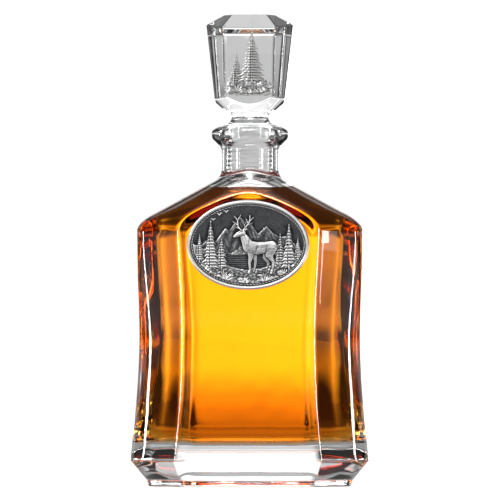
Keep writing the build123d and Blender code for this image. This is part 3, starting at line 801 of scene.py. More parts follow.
def medallion_sheet():
    """Lakeside with mountains, conifers and a stag. Heights are above the plate's front."""
    sh = Sheet(-31.6, 31.6, -23.2, 23.2, 0.1)
    U, V = sh.U, sh.V
    f = np.sqrt((U / MED_A) ** 2 + (V / MED_B) ** 2)
    g = np.sqrt((U / MED_A**2) ** 2 + (V / MED_B**2) ** 2) / np.maximum(f, 1e-6)
    inset = (1 - f) / np.maximum(g, 1e-6)
    sh.h[:] = 0.0
    # far range: facets fall away from the ridge line to either side
    ridge_u = [-31, -27, -21, -17, -11.5, -9.5, -4, -1.5, 0.6, 5, 9.5, 12.2, 16.5, 20, 27, 31]
    ridge_v = [-6, -4, 2.5, 1, 8.5, 7.4, 14.6, 11.6, 12.8, 5.6, 9.6, 6.6, 3.6, 5, -3, -6]
    crest = np.interp(U, ridge_u, ridge_v) + 0.35 * sh.noise(1.6, 41, 3)
    below = crest - V
    spur = np.abs(((U + 0.55 * below + 1.6 * sh.noise(5.0, 42, 2)) / 3.1) % 2.0 - 1.0)
    spur2 = np.abs(((U - 0.75 * below + 1.3 * sh.noise(3.6, 43, 2)) / 1.9) % 2.0 - 1.0)
    rock = 0.20 + 0.16 * spur + 0.09 * spur2 + 0.05 * sh.noise(0.7, 44, 2)
    on = np.clip(below / 0.25, 0, 1)
    sh.h = np.maximum(sh.h, on * rock)
    # lower wooded hills in front of the range
    hill = -1.6 + 2.4 * np.sin(U * 0.17 + 0.6) + 1.1 * np.sin(U * 0.41 + 2.0) + 0.5 * sh.noise(1.2, 45, 2)
    tooth = 0.9 * (1 - np.abs((U / 0.85) % 2.0 - 1.0)) * (0.6 + 0.4 * sh.noise(2.2, 46, 1))
    on = np.clip((hill + tooth - V) / 0.2, 0, 1)
    d1, d2, who = sh.cells(1.0, 47, (0.8, 1.3))
    wood = 0.40 + 0.14 * np.clip(1 - d1, 0, 1) + 0.05 * who
    sh.h = np.where(on > 0, np.maximum(sh.h * (1 - on), on * wood), sh.h)
    # lake with low ripples
    shore_v = np.interp(U, [-31, -20, -10, -2, 7, 15, 23, 31], [-6.0, -8.0, -10.4, -12.4, -11.8, -9.2, -7.0, -6.0])
    lake = (V < -4.6 + 0.4 * np.sin(U * 0.3)) & (V > shore_v - 1)
    ripple = 0.18 + 0.045 * np.sin(V * 6.4 + 1.6 * sh.noise(4.0, 48, 2, (2.5, 0.6))) + 0.03 * sh.noise(0.8, 49, 2, (3.0, 0.5))
    sh.h = np.where(lake, ripple, sh.h)
    # near bank
    bank = shore_v + 0.5 * sh.noise(1.4, 50, 3)
    on = np.clip((bank - V) / 0.2, 0, 1)
    d1, d2, who = sh.cells(1.9, 51, (1.3, 0.75))
    stone = 0.46 + 0.22 * np.clip((d2 - d1) * 1.6, 0, 1) * (0.45 + 0.55 * who) + 0.06 * sh.noise(0.6, 52, 2)
    sh.h = np.where(on > 0, np.maximum(sh.h * (1 - on), on * stone), sh.h)
    # birds
    for bu, bv, k in ((-14.5, 15.2, 1.3), (-11.0, 16.6, 1.0), (-17.6, 12.6, 1.0)):
        sh.limb([(bu - 1.5 * k, bv + 0.55 * k), (bu - 0.6 * k, bv + 0.75 * k), (bu, bv)], [0.06, 0.20 * k, 0.24 * k], 0.34)
        sh.limb([(bu + 1.5 * k, bv + 0.75 * k), (bu + 0.6 * k, bv + 0.8 * k), (bu, bv)], [0.06, 0.20 * k, 0.24 * k], 0.34)
    # conifers
    sh.conifer(16.4, -11.6, 5.6, 3.4, 5, 0.78, 64, 0.30)
    sh.conifer(25.4, -8.6, 3.6, 2.6, 5, 0.74, 65, 0.30)
    sh.conifer(20.9, -13.4, 10.6, 4.8, 6, 1.00, 62, 0.34)
    sh.conifer(-24.6, -8.8, 5.2, 2.8, 5, 0.78, 66, 0.30)
    sh.conifer(-13.4, -12.8, 4.4, 3.6, 5, 0.86, 63, 0.32)
    sh.conifer(-18.9, -14.2, 12.2, 5.2, 7, 1.04, 61, 0.34)
    # stag: far legs and tail, then one body with muscles and coat, then head and antlers
    sh.limb([(3.4, -3.6), (3.9, -8.4), (3.3, -12.4), (3.0, -13.7)], [1.5, 0.68, 0.46, 0.55], 0.66, 0.25, groove=0.2)
    sh.limb([(9.8, -3.0), (8.7, -6.4), (10.4, -9.2), (9.5, -12.7), (9.1, -13.7)], [2.0, 1.25, 0.66, 0.46, 0.55], 0.66, 0.25, groove=0.2)
    sh.limb([(14.2, 0.9), (15.0, -0.6), (15.0, -2.2)], [0.5, 0.6, 0.3], 0.82, 0.3, groove=0.15)
    body = [
        ([(0.6, -0.9), (4.4, -1.7), (8.8, -1.3), (12.0, -0.8)], [3.2, 3.2, 2.9, 2.9]),
        ([(12.0, -1.4), (10.8, -5.0), (13.0, -8.6), (12.4, -12.7), (11.8, -14.3)], [2.9, 1.9, 0.80, 0.54, 0.68]),
        ([(1.4, -2.2), (1.5, -5.4), (0.8, -8.7), (1.1, -12.6), (0.5, -14.2)], [2.4, 1.35, 0.80, 0.54, 0.68]),
        ([(0.4, -0.6), (-1.1, 2.5), (-2.7, 5.4)], [3.1, 2.3, 1.45]),
    ]
    sd_body = np.full_like(U, 99.0)
    relief = np.zeros_like(U)
    for pts, radii in body:
        sd, full = sh.line(pts, radii)
        relief = soft_max(relief, 0.86 * np.sqrt(np.clip(full / 3.2, 0, 1)) * (sd < 0), 0.10)
        sd_body = np.minimum(sd_body, sd)
    flow = 0.5 * (V + 1.0) * ((U < 1.5) * np.clip((1.5 - U) / 3.0, 0, 1))
    coat = 0.085 * sh.noise(0.95, 70, 3, (1.6, 0.42)) * np.clip(1 - np.abs(flow), 0, 1)
    coat += 0.13 * sh.noise(0.9, 72, 3, (0.40, 1.8)) * np.clip((1.6 - U) / 2.6, 0, 1) * (V > -4.5)
    for mu, mv, ru, rv, k in ((2.0, -1.6, 1.9, 2.6, 0.13), (11.6, -2.2, 2.0, 2.5, 0.14), (6.6, -3.2, 2.4, 0.9, 0.08), (-0.9, 1.4, 1.0, 2.2, 0.10),
                              (6.6, 0.2, 3.2, 0.8, 0.07), (1.3, -5.2, 0.7, 1.7, 0.10), (11.2, -5.4, 0.8, 1.6, 0.10)):
        coat += k * np.exp(-((U - mu) / ru) ** 2 - ((V - mv) / rv) ** 2)
    for mu, mv, ru, rv, k in ((4.4, -2.2, 0.45, 2.4, 0.15), (9.3, -2.6, 0.45, 2.2, 0.15), (0.6, 1.6, 0.35, 2.0, 0.08)):
        coat -= k * np.exp(-((U - mu - 0.2 * (V - mv)) / ru) ** 2 - ((V - mv) / rv) ** 2)
    on = np.clip(-sd_body / 0.10 + 0.5, 0, 1)
    moat = np.exp(-((sd_body - 0.14) / 0.26) ** 2) * (sd_body > -0.1)
    sh.h -= 0.26 * moat * (sh.h > 0.05)
    sh.h = sh.h * (1 - on) + on * (0.34 + relief + coat)
    sh.own = np.maximum(sh.own, on)
    sh.limb([(-2.4, 7.1), (-0.9, 8.0), (0.2, 8.1)], [0.30, 0.50, 0.10], 1.02, 0.3, groove=0.15)
    face = 0.03 * sh.noise(0.5, 73, 2, (1.3, 0.6))
    sh.limb([(-2.7, 6.2), (-4.5, 5.6), (-7.0, 4.3)], [1.55, 1.30, 0.66], 1.26, 0.40, fur=face, groove=0.10)
    sh.limb([(-3.2, 7.2), (-4.1, 8.1), (-4.9, 8.4)], [0.30, 0.42, 0.10], 1.16, 0.3, groove=0.15)
    for pts, radii in (
        ([(-2.6, 7.2), (-0.7, 9.6), (0.9, 12.0), (1.1, 15.0)], [0.46, 0.42, 0.36, 0.12]),
        ([(-1.3, 8.9), (-2.1, 10.9)], [0.34, 0.10]), ([(0.1, 10.8), (-1.0, 13.3)], [0.32, 0.10]),
        ([(0.9, 12.1), (2.9, 14.0)], [0.30, 0.10]), ([(-0.2, 10.2), (2.4, 11.2)], [0.32, 0.10]),
        ([(-3.3, 7.3), (-5.0, 9.4), (-5.2, 12.4), (-3.7, 15.2)], [0.46, 0.42, 0.36, 0.12]),
        ([(-4.1, 8.3), (-6.9, 9.3)], [0.34, 0.10]), ([(-5.1, 10.1), (-7.7, 11.9)], [0.32, 0.10]),
        ([(-5.1, 12.3), (-6.9, 14.7)], [0.30, 0.10]),
    ):
        sh.limb(pts, radii, 0.98, 0.30, groove=0.22)
    for du, dv, r, depth in ((-4.35, 6.15, 0.26, 0.42), (-6.95, 4.45, 0.20, 0.30)):
        sh.h -= depth * np.exp(-((U - du) ** 2 + (V - dv) ** 2) / r**2)
    sh.h -= 0.20 * np.exp(-((V - (3.75 - 0.45 * (U + 7.2))) / 0.12) ** 2) * ((U > -7.2) & (U < -5.5)) * (np.abs(V - 3.6) < 1.2)

    # stones, reeds and grass along the bottom
    for k, (bx, by, rx, ry) in enumerate(((-24.2, -11.2, 2.6, 1.7), (-8.6, -15.6, 2.4, 1.5), (6.6, -15.6, 2.2, 1.2), (17.2, -14.2, 2.9, 1.8),
                                          (23.6, -10.8, 2.4, 1.5), (-3.4, -17.6, 2.6, 1.3), (12.2, -16.9, 2.6, 1.3), (-16.2, -16.2, 2.5, 1.3))):
        sh.boulder(bx, by, rx, ry, 80 + k, 0.86, 0.4)
    sh.tuft(-11.6, -18.2, 6.2, 13, 90, 1.05, 0.45)
    sh.tuft(8.9, -18.9, 5.2, 11, 91, 1.05, 0.45)
    sh.tuft(19.4, -15.6, 4.4, 11, 92, 1.0, 0.45)
    sh.tuft(-21.4, -13.6, 4.4, 11, 93, 1.0, 0.45)
    sh.tuft(-1.6, -19.6, 4.4, 11, 94, 1.0, 0.45)
    sh.tuft(25.2, -10.6, 3.2, 9, 95, 0.9, 0.4)
    # stippled ground
    pits = sh.noise(0.42, 53, 2)
    sh.h += 0.035 * pits * (1 - sh.own * 0.6)
    # field edge: the scene fades into a smooth groove, then a twisted cord runs inside the rim
    sh.h = sh.h * np.clip((inset - 3.15) / 0.25, 0, 1)
    return sh, inset


def oval(theta, inset):
    x, y = MED_A * np.cos(theta), MED_B * np.sin(theta)
    nx, ny = MED_B * np.cos(theta), MED_A * np.sin(theta)
    n = np.hypot(nx, ny)
    return x - nx / n * inset, y - ny / n * inset


def even_angles(n):
    t = np.linspace(0, 2 * PI, 4001)
    x, y = MED_A * np.cos(t), MED_B * np.sin(t)
    s = np.concatenate([[0], np.cumsum(np.hypot(np.diff(x), np.diff(y)))])
    return np.interp(np.arange(n) / n * s[-1], s, t), np.arange(n) / n


# Stores a per-point colour value that is partly wear and patina, partly painted highlight and painted shade.
def set_wear_and_painted_light(ob, values):
    at = ob.data.attributes.new("wear_and_painted_light", "FLOAT", "POINT")
    at.data.foreach_set("value", np.asarray(values, np.float32))


def medallion_mesh():
    sh, _ = medallion_sheet()
    c1, c2 = stand_out(sh)
    n = 600
    theta, turn = even_angles(n)
    rings, wear_and_painted_light = [], []

    def add(inset, depth, w, scale=1.0):
        x, y = oval(theta, inset)
        d = depth if isinstance(depth, np.ndarray) else np.full(n, float(depth))
        rings.append(np.stack([x * scale, -d, MED_Z + y * scale], 1))
        wear_and_painted_light.append(w if isinstance(w, np.ndarray) else np.full(n, float(w)))

    # The third number of each ring sets its colour: the rim's outer side gets lighter upward and its top is brightest,
    # partly rubbed wear and partly a painted highlight; the groove inside it is set dark, patina and painted shade.
    add(0.30, PAD_Y, 0.3)
    add(0.06, PAD_Y + 0.04, 0.3)
    add(0.0, PAD_Y + 0.25, 0.4)
    add(0.0, PLATE_Y - 0.5, 0.55)
    add(0.0, PLATE_Y + 0.35, 0.8)
    for t in np.linspace(0.12, 1.0, 12):
        a = t * PI
        add(0.95 - 0.95 * math.cos(a), PLATE_Y + 0.45 + (RIM_TOP - 0.45) * math.sin(a), 1.0 if t < 0.85 else 0.45)
    add(1.93, PLATE_Y + 0.15, 0.05)
    add(1.98, PLATE_Y - 0.05, 0.0)
    add(2.16, PLATE_Y - 0.06, 0.0)
    # The cord's crests are set light and its troughs dark: partly polished wear and patina, partly painted highlight
    # and painted shade.
    for k in np.linspace(-1, 1, 7):
        twist = 0.5 + 0.5 * np.cos(2 * PI * 100 * turn + 2.2 * k)
        body = math.sqrt(max(0.0, 1 - (0.96 * k) ** 2))
        add(2.56 + 0.38 * k, PLATE_Y - 0.05 + 0.62 * body * (0.30 + 0.70 * twist), 0.02 + 1.0 * body * twist)
    add(3.02, PLATE_Y - 0.06, 0.0)
    m_rings = 112
    for i in range(m_rings):
        q = 1 - (i + 0.5) / m_rings
        x, y = oval(theta, 3.1)
        x, y = x * q, y * q
        h = sh.at(sh.h, x, y)
        a1, a2 = sh.at(c1, x, y), sh.at(c2, x, y)
        # Colour value: higher relief and edges that stand out are lighter, hollows darker; partly polished wear and
        # patina, partly painted highlight and painted shade.
        w = 0.14 + 0.36 * np.clip(h / 0.8, 0, 1) ** 1.5 + 3.0 * a1 + 1.25 * a2
        rings.append(np.stack([x, -(PLATE_Y + h), MED_Z + y], 1))
        wear_and_painted_light.append(np.clip(w, 0, 1))
    centre_h = float(sh.at(sh.h, np.array([0.0]), np.array([0.0]))[0])
    ob = loft("medallion_cast", rings, start=(0, -PAD_Y, MED_Z), end=(0, -(PLATE_Y + centre_h), MED_Z))
    set_wear_and_painted_light(ob, np.concatenate(wear_and_painted_light + [np.array([0.3, 0.5])]))
    return ob


def pewter_material(name, dark, mid, light):
    m, nt, out = material(name)
    b = nt.nodes.new("ShaderNodeBsdfPrincipled")
    b.inputs["Metallic"].default_value = 0.9
    at = nt.nodes.new("ShaderNodeAttribute")
    at.attribute_name = "wear_and_painted_light"
    v = object_coords(nt, 1.0)
    blotch = node(nt, "ShaderNodeTexNoise", Scale=260.0, Detail=4.0, Roughness=0.6)
    grain = node(nt, "ShaderNodeTexNoise", Scale=2600.0, Detail=2.0)
    nt.links.new(v, blotch.inputs["Vector"])
    nt.links.new(v, grain.inputs["Vector"])
    # The point value read here sets the colour from dark to near white: partly real wear and patina, partly a painted
    # highlight on raised parts and painted shade in hollows.
    fac = M(nt, "ADD", at.outputs["Fac"], M(nt, "MULTIPLY_ADD", blotch.outputs["Fac"], 0.22, -0.11))
    fac = M(nt, "ADD", fac, M(nt, "MULTIPLY_ADD", grain.outputs["Fac"], 0.16, -0.08))
    r = ramp(nt, fac, [(0.0, dark), (0.30, mid), (0.58, light), (0.9, (0.95, 0.95, 0.94, 1))])
    nt.links.new(r.outputs["Color"], b.inputs["Base Color"])
    nt.links.new(M(nt, "MULTIPLY_ADD", fac, -0.22, 0.52), b.inputs["Roughness"])
    bump = node(nt, "ShaderNodeBump", Strength=0.25, Distance=0.00006)
    nt.links.new(grain.outputs["Fac"], bump.inputs["Height"])
    nt.links.new(bump.outputs["Normal"], b.inputs["Normal"])
    nt.links.new(b.outputs["BSDF"], out.inputs["Surface"])
    return m


pewter = pewter_material("aged_pewter", (0.020, 0.021, 0.025, 1), (0.13, 0.133, 0.14, 1), (0.50, 0.50, 0.50, 1))
medallion = medallion_mesh()
medallion.data.materials.append(pewter)
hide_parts("medallion")
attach(medallion, "decanter")

# ---------------------------------------------------------------- emblem
EMB_Y, EMB_Z = -15.835, 200.3
LEAN = math.atan((HEAD_FRONT[0][1] - HEAD_FRONT[1][1]) / (HEAD_HIGH_Z - HEAD_LOW_Z))
FILM, THIN = 0.3, 0.55


def emblem_frame(u, v, d):
    """Point at u, v on the stopper's front facet, d out from it, in mm."""
    c, k = math.cos(LEAN), math.sin(LEAN)
    return np.stack([u, EMB_Y - k * v - c * d, EMB_Z + c * v - k * d], -1)


def emblem_sheet():
    """Two conifers on a stony ledge, with grass at their feet."""
    sh = Sheet(-13.2, 13.2, -1.2, 35.6, 0.09)
    U, V = sh.U, sh.V
    ledge = [(-11.6, 1.4), (-9.4, 0.2), (-3, 0), (3.4, 0.4), (9, 0), (11.4, 1.2), (11.8, 4.4), (10.2, 7.4), (7.6, 8.6), (4, 7.6),
             (0, 8.2), (-4.2, 9.4), (-7.8, 8.4), (-10.6, 9.2), (-11.9, 5.2)]
    sd = sh.mask_polygon(ledge) + 0.35 * sh.noise(1.5, 30, 2)
    d1, d2, who = sh.cells(3.2, 31, (1.25, 0.8))
    tilt = sh.noise(2.2, 32, 2)
    rock = 0.95 + 0.42 * np.clip((d2 - d1) * 1.7, 0, 1) * (0.35 + 0.65 * who) + 0.16 * tilt + 0.06 * sh.noise(0.7, 33, 2)
    edge = np.clip(-sd / 1.1, 0, 1) ** 0.5
    sh.h = np.where(sd < 0, THIN + (rock - THIN) * edge, 0.0)
    sh.own = np.clip(-sd / 0.1 + 0.5, 0, 1)
    sh.conifer(-6.6, 5.0, 22.4, 5.0, 6, 1.05, 21, THIN)
    sh.conifer(1.4, 5.0, 34.4, 8.2, 9, 1.45, 22, THIN)
    for k, (bx, by, rx, ry) in enumerate(((-9.2, 3.0, 2.6, 1.9), (7.9, 3.2, 2.9, 2.1), (-3.0, 2.4, 2.6, 1.6), (3.0, 2.2, 2.3, 1.4))):
        sh.boulder(bx, by, rx, ry, 34 + k, 1.45, 0.8)
    sh.tuft(-6.0, 2.2, 5.2, 11, 96, 1.6, 0.9)
    sh.tuft(5.4, 1.6, 4.8, 11, 97, 1.6, 0.9)
    sh.tuft(-0.4, 1.2, 4.2, 11, 98, 1.6, 0.9)
    sh.tuft(10.0, 4.0, 3.6, 9, 99, 1.5, 0.9)
    sh.h = np.clip(sh.h, 0, 1.78 - FILM)
    return sh


def cutout_mesh(name, sh, back, place):
    """A closed casting: the front follows the height map where own is over a half, with a rim wall and a flat back."""
    own = sh.blurred(0.10, sh.own)
    sd = 0.5 - own
    inside = own > 0.5
    # keep the largest connected region of nodes
    seen = np.zeros(inside.shape, int)
    label = 0
    best = (0, 0)
    for j0, i0 in zip(*np.nonzero(inside)):
        if seen[j0, i0]:
            continue
        label += 1
        stack, count = [(j0, i0)], 0
        seen[j0, i0] = label
        while stack:
            j, i = stack.pop()
            count += 1
            for b, a in ((j + 1, i), (j - 1, i), (j, i + 1), (j, i - 1)):
                if 0 <= b < inside.shape[0] and 0 <= a < inside.shape[1] and inside[b, a] and not seen[b, a]:
                    seen[b, a] = label
                    stack.append((b, a))
        if count > best[0]:
            best = (count, label)
    inside = seen == best[1]
    cell = inside[:-1, :-1] & inside[1:, :-1] & inside[:-1, 1:] & inside[1:, 1:]
    # drop cells that touch the rest only by a corner
    for _ in range(3):
        pad = np.pad(cell, 1)
        side = pad[:-2, 1:-1].astype(int) + pad[2:, 1:-1] + pad[1:-1, :-2] + pad[1:-1, 2:]
        cell &= side >= 2
    for _ in range(4):
        a, b = cell[:-1, :-1] & cell[1:, 1:], cell[:-1, 1:] & cell[1:, :-1]
        bad1 = a & ~cell[:-1, 1:] & ~cell[1:, :-1]
        bad2 = b & ~cell[:-1, :-1] & ~cell[1:, 1:]
        if not (bad1.any() or bad2.any()):
            break
        cell[:-1, :-1] &= ~bad1
        cell[:-1, 1:] &= ~bad2
    used = np.zeros(inside.shape, bool)
    used[:-1, :-1] |= cell
    used[1:, :-1] |= cell
    used[:-1, 1:] |= cell
    used[1:, 1:] |= cell
    idx = -np.ones(inside.shape, int)
    idx[used] = np.arange(used.sum())
    u, v = sh.U[used].copy(), sh.V[used].copy()
    h = np.maximum(sh.h[used], THIN)
    js, is_ = np.nonzero(cell)
    quad = np.stack([idx[js, is_], idx[js, is_ + 1], idx[js + 1, is_ + 1], idx[js + 1, is_]], 1)
    edges = np.concatenate([quad[:, [k, (k + 1) % 4]] for k in range(4)])
    key = set(map(tuple, edges.tolist()))
    rim = [(a, b) for a, b in key if (b, a) not in key]
    on_rim = np.zeros(len(u), bool)
    for a, b in rim:
        on_rim[a] = on_rim[b] = True
    # slide the outline's points onto the smooth contour, then relax them a little
    gu, gv = np.gradient(sd, sh.step, axis=1)[used], np.gradient(sd, sh.step, axis=0)[used]
    for _ in range(2):
        val = sh.at(sd, u, v)
        g2 = np.maximum(gu**2 + gv**2, 0.05)
        mv = np.clip(-val / g2, -0.12, 0.12) * on_rim
        u, v = u + mv * gu, v + mv * gv
    near = {}
    for a, b in rim:
        near.setdefault(a, []).append(b)
        near.setdefault(b, []).append(a)
    for _ in range(2):
        u2, v2 = u.copy(), v.copy()
        for a, bs in near.items():
            if len(bs) == 2:
                u2[a] = 0.5 * u[a] + 0.25 * (u[bs[0]] + u[bs[1]])
                v2[a] = 0.5 * v[a] + 0.25 * (v[bs[0]] + v[bs[1]])
        u, v = u2, v2
    h = np.where(on_rim, THIN, h)
    n = len(u)
    front = place(u, v, back + h)
    rear = place(u, v, np.full(n, back))
    faces = quad.tolist() + (quad[:, ::-1] + n).tolist()
    faces += [[b, a, a + n, b + n] for a, b in rim]
    me = bpy.data.meshes.new(name)
    me.from_pydata((np.concatenate([front, rear]) * MM).tolist(), [], faces)
    me.validate()
    me.shade_smooth()
    me.update()
    ob = bpy.data.objects.new(name, me)
    bpy.context.scene.collection.objects.link(ob)
    # Colour value: higher relief and edges that stand out are lighter, hollows and the outline darker; partly polished
    # wear and patina, partly painted highlight and painted shade.
    c1, c2 = stand_out(sh)
    su, sv = sh.U[used], sh.V[used]
    w = 0.30 + 0.30 * np.clip((sh.h[used] - THIN) / 0.8, 0, 1) + 2.6 * sh.at(c1, su, sv) + 0.8 * sh.at(c2, su, sv)
    w = np.where(on_rim, 0.25, w)
    set_wear_and_painted_light(ob, np.concatenate([np.clip(w, 0, 1), np.full(n, 0.2)]))
    return ob


emblem = cutout_mesh("emblem_cast", emblem_sheet(), FILM, emblem_frame)
pale_pewter = pewter_material("polished_pewter", (0.03, 0.03, 0.032, 1), (0.30, 0.30, 0.305, 1), (0.70, 0.70, 0.69, 1))
emblem.data.materials.append(pale_pewter)
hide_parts("stopper_emblem")
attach(emblem, "stopper")

# ---------------------------------------------------------------- seal
seal_pts = [(8.8, 186.0), (8.8, 175.0), (8.8, 165.0), (8.8, 160.4), (8.3, 160.3), (7.5, 160.3), (7.3, 160.1), (7.3, 159.7), (7.5, 159.5),
            (8.8, 159.5), (9.25, 159.55), (9.6, 159.85), (9.75, 160.3)]
for i in range(9):
    z = 161.9 + (180.6 - 161.9) * i / 8
    seal_pts += [(9.75, z - 0.78), (9.82, z - 0.62), (10.3, z - 0.34), (10.5, z - 0.18), (10.55, z), (10.5, z + 0.18), (10.3, z + 0.34), (9.82, z + 0.62),
                 (9.75, z + 0.78)]
seal_pts += [(9.75, 182.3), (9.85, 182.8), (10.6, 183.9), (11.6, 185.1), (12.0, 185.44), (13.2, 185.47), (13.55, 185.55), (13.6, 185.75),
             (13.55, 185.95), (13.2, 186.04), (11.0, 186.05), (9.0, 186.05)]
like = np.stack([np.cos(np.arange(160) / 160 * 2 * PI), np.sin(np.arange(160) / 160 * 2 * PI)], 1)
rings_s = [at_height(circle_ring(r, like), z) for r, z in seal_pts]
rings_s.append(rings_s[0].copy())
n = len(like)
verts = np.concatenate(rings_s[:-1]) * MM
faces = []
count = len(rings_s) - 1
for i in range(count):
    b0, b1 = i * n, ((i + 1) % count) * n
    for j in range(n):
        k = (j + 1) % n
        faces.append([b0 + j, b0 + k, b1 + k, b1 + j])
me = bpy.data.meshes.new("seal_sleeve")
me.from_pydata(verts.tolist(), [], faces)
me.validate()
me.shade_smooth()
me.update()
seal = bpy.data.objects.new("seal_sleeve", me)
bpy.context.scene.collection.objects.link(seal)
m, nt, out = material("frosted_plastic")
b = nt.nodes.new("ShaderNodeBsdfPrincipled")
b.inputs["IOR"].default_value = 1.45
b.inputs["Transmission Weight"].default_value = 0.35
v = object_coords(nt, 1.0)
haze = node(nt, "ShaderNodeTexNoise", Scale=180.0, Detail=3.0)
fine = node(nt, "ShaderNodeTexNoise", Scale=1500.0, Detail=2.0)
nt.links.new(v, haze.inputs["Vector"])
nt.links.new(v, fine.inputs["Vector"])
r = ramp(nt, haze.outputs["Fac"], [(0.3, (0.88, 0.88, 0.88, 1)), (0.7, (0.97, 0.97, 0.97, 1))])
nt.links.new(r.outputs["Color"], b.inputs["Base Color"])
nt.links.new(M(nt, "MULTIPLY_ADD", haze.outputs["Fac"], 0.16, 0.16), b.inputs["Roughness"])
bump = node(nt, "ShaderNodeBump", Strength=0.3, Distance=0.00008)
nt.links.new(fine.outputs["Fac"], bump.inputs["Height"])
nt.links.new(bump.outputs["Normal"], b.inputs["Normal"])
nt.links.new(b.outputs["BSDF"], out.inputs["Surface"])
seal.data.materials.append(m)
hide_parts("stopper_seal")
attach(seal, "seal")

# ---------------------------------------------------------------- adhesive films (CAD nodes)
m, nt, out = material("clear_adhesive")
b = nt.nodes.new("ShaderNodeBsdfPrincipled")
v = object_coords(nt, 1.0)
cloud = node(nt, "ShaderNodeTexNoise", Scale=420.0, Detail=4.0)
nt.links.new(v, cloud.inputs["Vector"])
r = ramp(nt, cloud.outputs["Fac"], [(0.3, (0.30, 0.29, 0.27, 1)), (0.7, (0.46, 0.45, 0.42, 1))])
nt.links.new(r.outputs["Color"], b.inputs["Base Color"])
nt.links.new(M(nt, "MULTIPLY_ADD", cloud.outputs["Fac"], 0.3, 0.25), b.inputs["Roughness"])
bump = node(nt, "ShaderNodeBump", Strength=0.3, Distance=0.0001)
nt.links.new(cloud.outputs["Fac"], bump.inputs["Height"])
nt.links.new(bump.outputs["Normal"], b.inputs["Normal"])
nt.links.new(b.outputs["BSDF"], out.inputs["Surface"])
for o in bpy.context.scene.objects:
    if o.type == "MESH" and o.name.startswith(("medallion_adhesive", "emblem_adhesive")):
        if o.material_slots:
            for slot in o.material_slots:
                slot.material = m
        else:
            o.data.materials.append(m)

# ---------------------------------------------------------------- floor, light, camera
DEG = PI / 180

bpy.ops.mesh.primitive_plane_add(size=60.0)
floor = bpy.context.object
floor.name = "floor"
# Seen by the camera the floor is plain and evenly pale. For all other rays it glows with painted light in bands and
# patches, and its glossy reflection is painted strong only in a lane behind the object and beside it; these light the
# glass, liquor and pewter.
m, nt, out = material("pale_floor_with_painted_glow")
geo = nt.nodes.new("ShaderNodeNewGeometry")
sp = nt.nodes.new("ShaderNodeSeparateXYZ")
nt.links.new(geo.outputs["Position"], sp.inputs[0])
az = M(nt, "ABSOLUTE", M(nt, "ARCTAN2", sp.outputs["X"], sp.outputs["Y"]))
away = nt.nodes.new("ShaderNodeVectorMath")
away.operation = "LENGTH"
nt.links.new(geo.outputs["Position"], away.inputs[0])
far = M(nt, "LOGARITHM", away.outputs["Value"], 2.0)
widen = M(nt, "MULTIPLY_ADD", step_up(nt, far, -1.74, 2.17), 2.0, 1.0)
widen = M(nt, "MULTIPLY_ADD", step_up(nt, away.outputs["Value"], 0.14, 0.30), -2.0, M(nt, "ADD", widen, 2.0))
# painted sheen: the gloss is strong only in a lane behind the object and beside it
lane = M(nt, "SUBTRACT", 1.0, step_up(nt, M(nt, "DIVIDE", az, widen), 5.5 * DEG, 10.0 * DEG))
beside = step_up(nt, az, 40 * DEG, 70 * DEG)
painted_sheen = M(nt, "MAXIMUM", M(nt, "MAXIMUM", M(nt, "MULTIPLY", lane, 1.18), beside), 0.03)
grey = nt.nodes.new("ShaderNodeCombineColor")
for i in range(3):
    nt.links.new(painted_sheen, grey.inputs[i])
gloss = nt.nodes.new("ShaderNodeBsdfGlossy")
gloss.inputs["Roughness"].default_value = 0.08
nt.links.new(grey.outputs[0], gloss.inputs["Color"])
# painted glow for rays other than the camera's, set by distance and direction (near, spot, sides, ahead)
under = nt.nodes.new("ShaderNodeEmission")
under.inputs["Color"].default_value = (1, 1, 1, 1)
near = M(nt, "MULTIPLY_ADD", step_up(nt, away.outputs["Value"], 0.12, 0.18), -0.30, 0.37)
spot = M(nt, "SUBTRACT", step_up(nt, away.outputs["Value"], 0.44, 0.49), step_up(nt, away.outputs["Value"], 0.60, 0.66))
spot = M(nt, "MULTIPLY", spot, M(nt, "SUBTRACT", 1.0, step_up(nt, az, 6 * DEG, 11 * DEG)))
near = M(nt, "MULTIPLY_ADD", spot, 0.35, near)
sides = M(nt, "SUBTRACT", step_up(nt, az, 34 * DEG, 52 * DEG), step_up(nt, az, 135 * DEG, 155 * DEG))
sides = M(nt, "MULTIPLY", sides, step_up(nt, away.outputs["Value"], 0.16, 0.34))
ahead = M(nt, "MULTIPLY", step_up(nt, az, 135 * DEG, 155 * DEG), step_up(nt, away.outputs["Value"], 0.50, 0.72))
near = M(nt, "MULTIPLY_ADD", ahead, 1.5, near)
nt.links.new(M(nt, "MULTIPLY_ADD", sides, 1.8, near), under.inputs["Strength"])
fres = nt.nodes.new("ShaderNodeFresnel")
fres.inputs["IOR"].default_value = 1.5
low_mix = nt.nodes.new("ShaderNodeMixShader")
nt.links.new(fres.outputs[0], low_mix.inputs["Fac"])
nt.links.new(under.outputs[0], low_mix.inputs[1])
nt.links.new(gloss.outputs[0], low_mix.inputs[2])
seen = nt.nodes.new("ShaderNodeEmission")
seen.inputs["Color"].default_value = (1, 1, 1, 1)
seen.inputs["Strength"].default_value = 0.86
dif = nt.nodes.new("ShaderNodeBsdfDiffuse")
dif.inputs["Color"].default_value = (0.8, 0.8, 0.8, 1)
add = nt.nodes.new("ShaderNodeAddShader")
nt.links.new(seen.outputs[0], add.inputs[0])
nt.links.new(dif.outputs[0], add.inputs[1])
lp = nt.nodes.new("ShaderNodeLightPath")
mx = nt.nodes.new("ShaderNodeMixShader")
nt.links.new(lp.outputs["Is Camera Ray"], mx.inputs["Fac"])
nt.links.new(low_mix.outputs[0], mx.inputs[1])
nt.links.new(add.outputs[0], mx.inputs[2])
nt.links.new(mx.outputs[0], out.inputs["Surface"])
floor.data.materials.append(m)

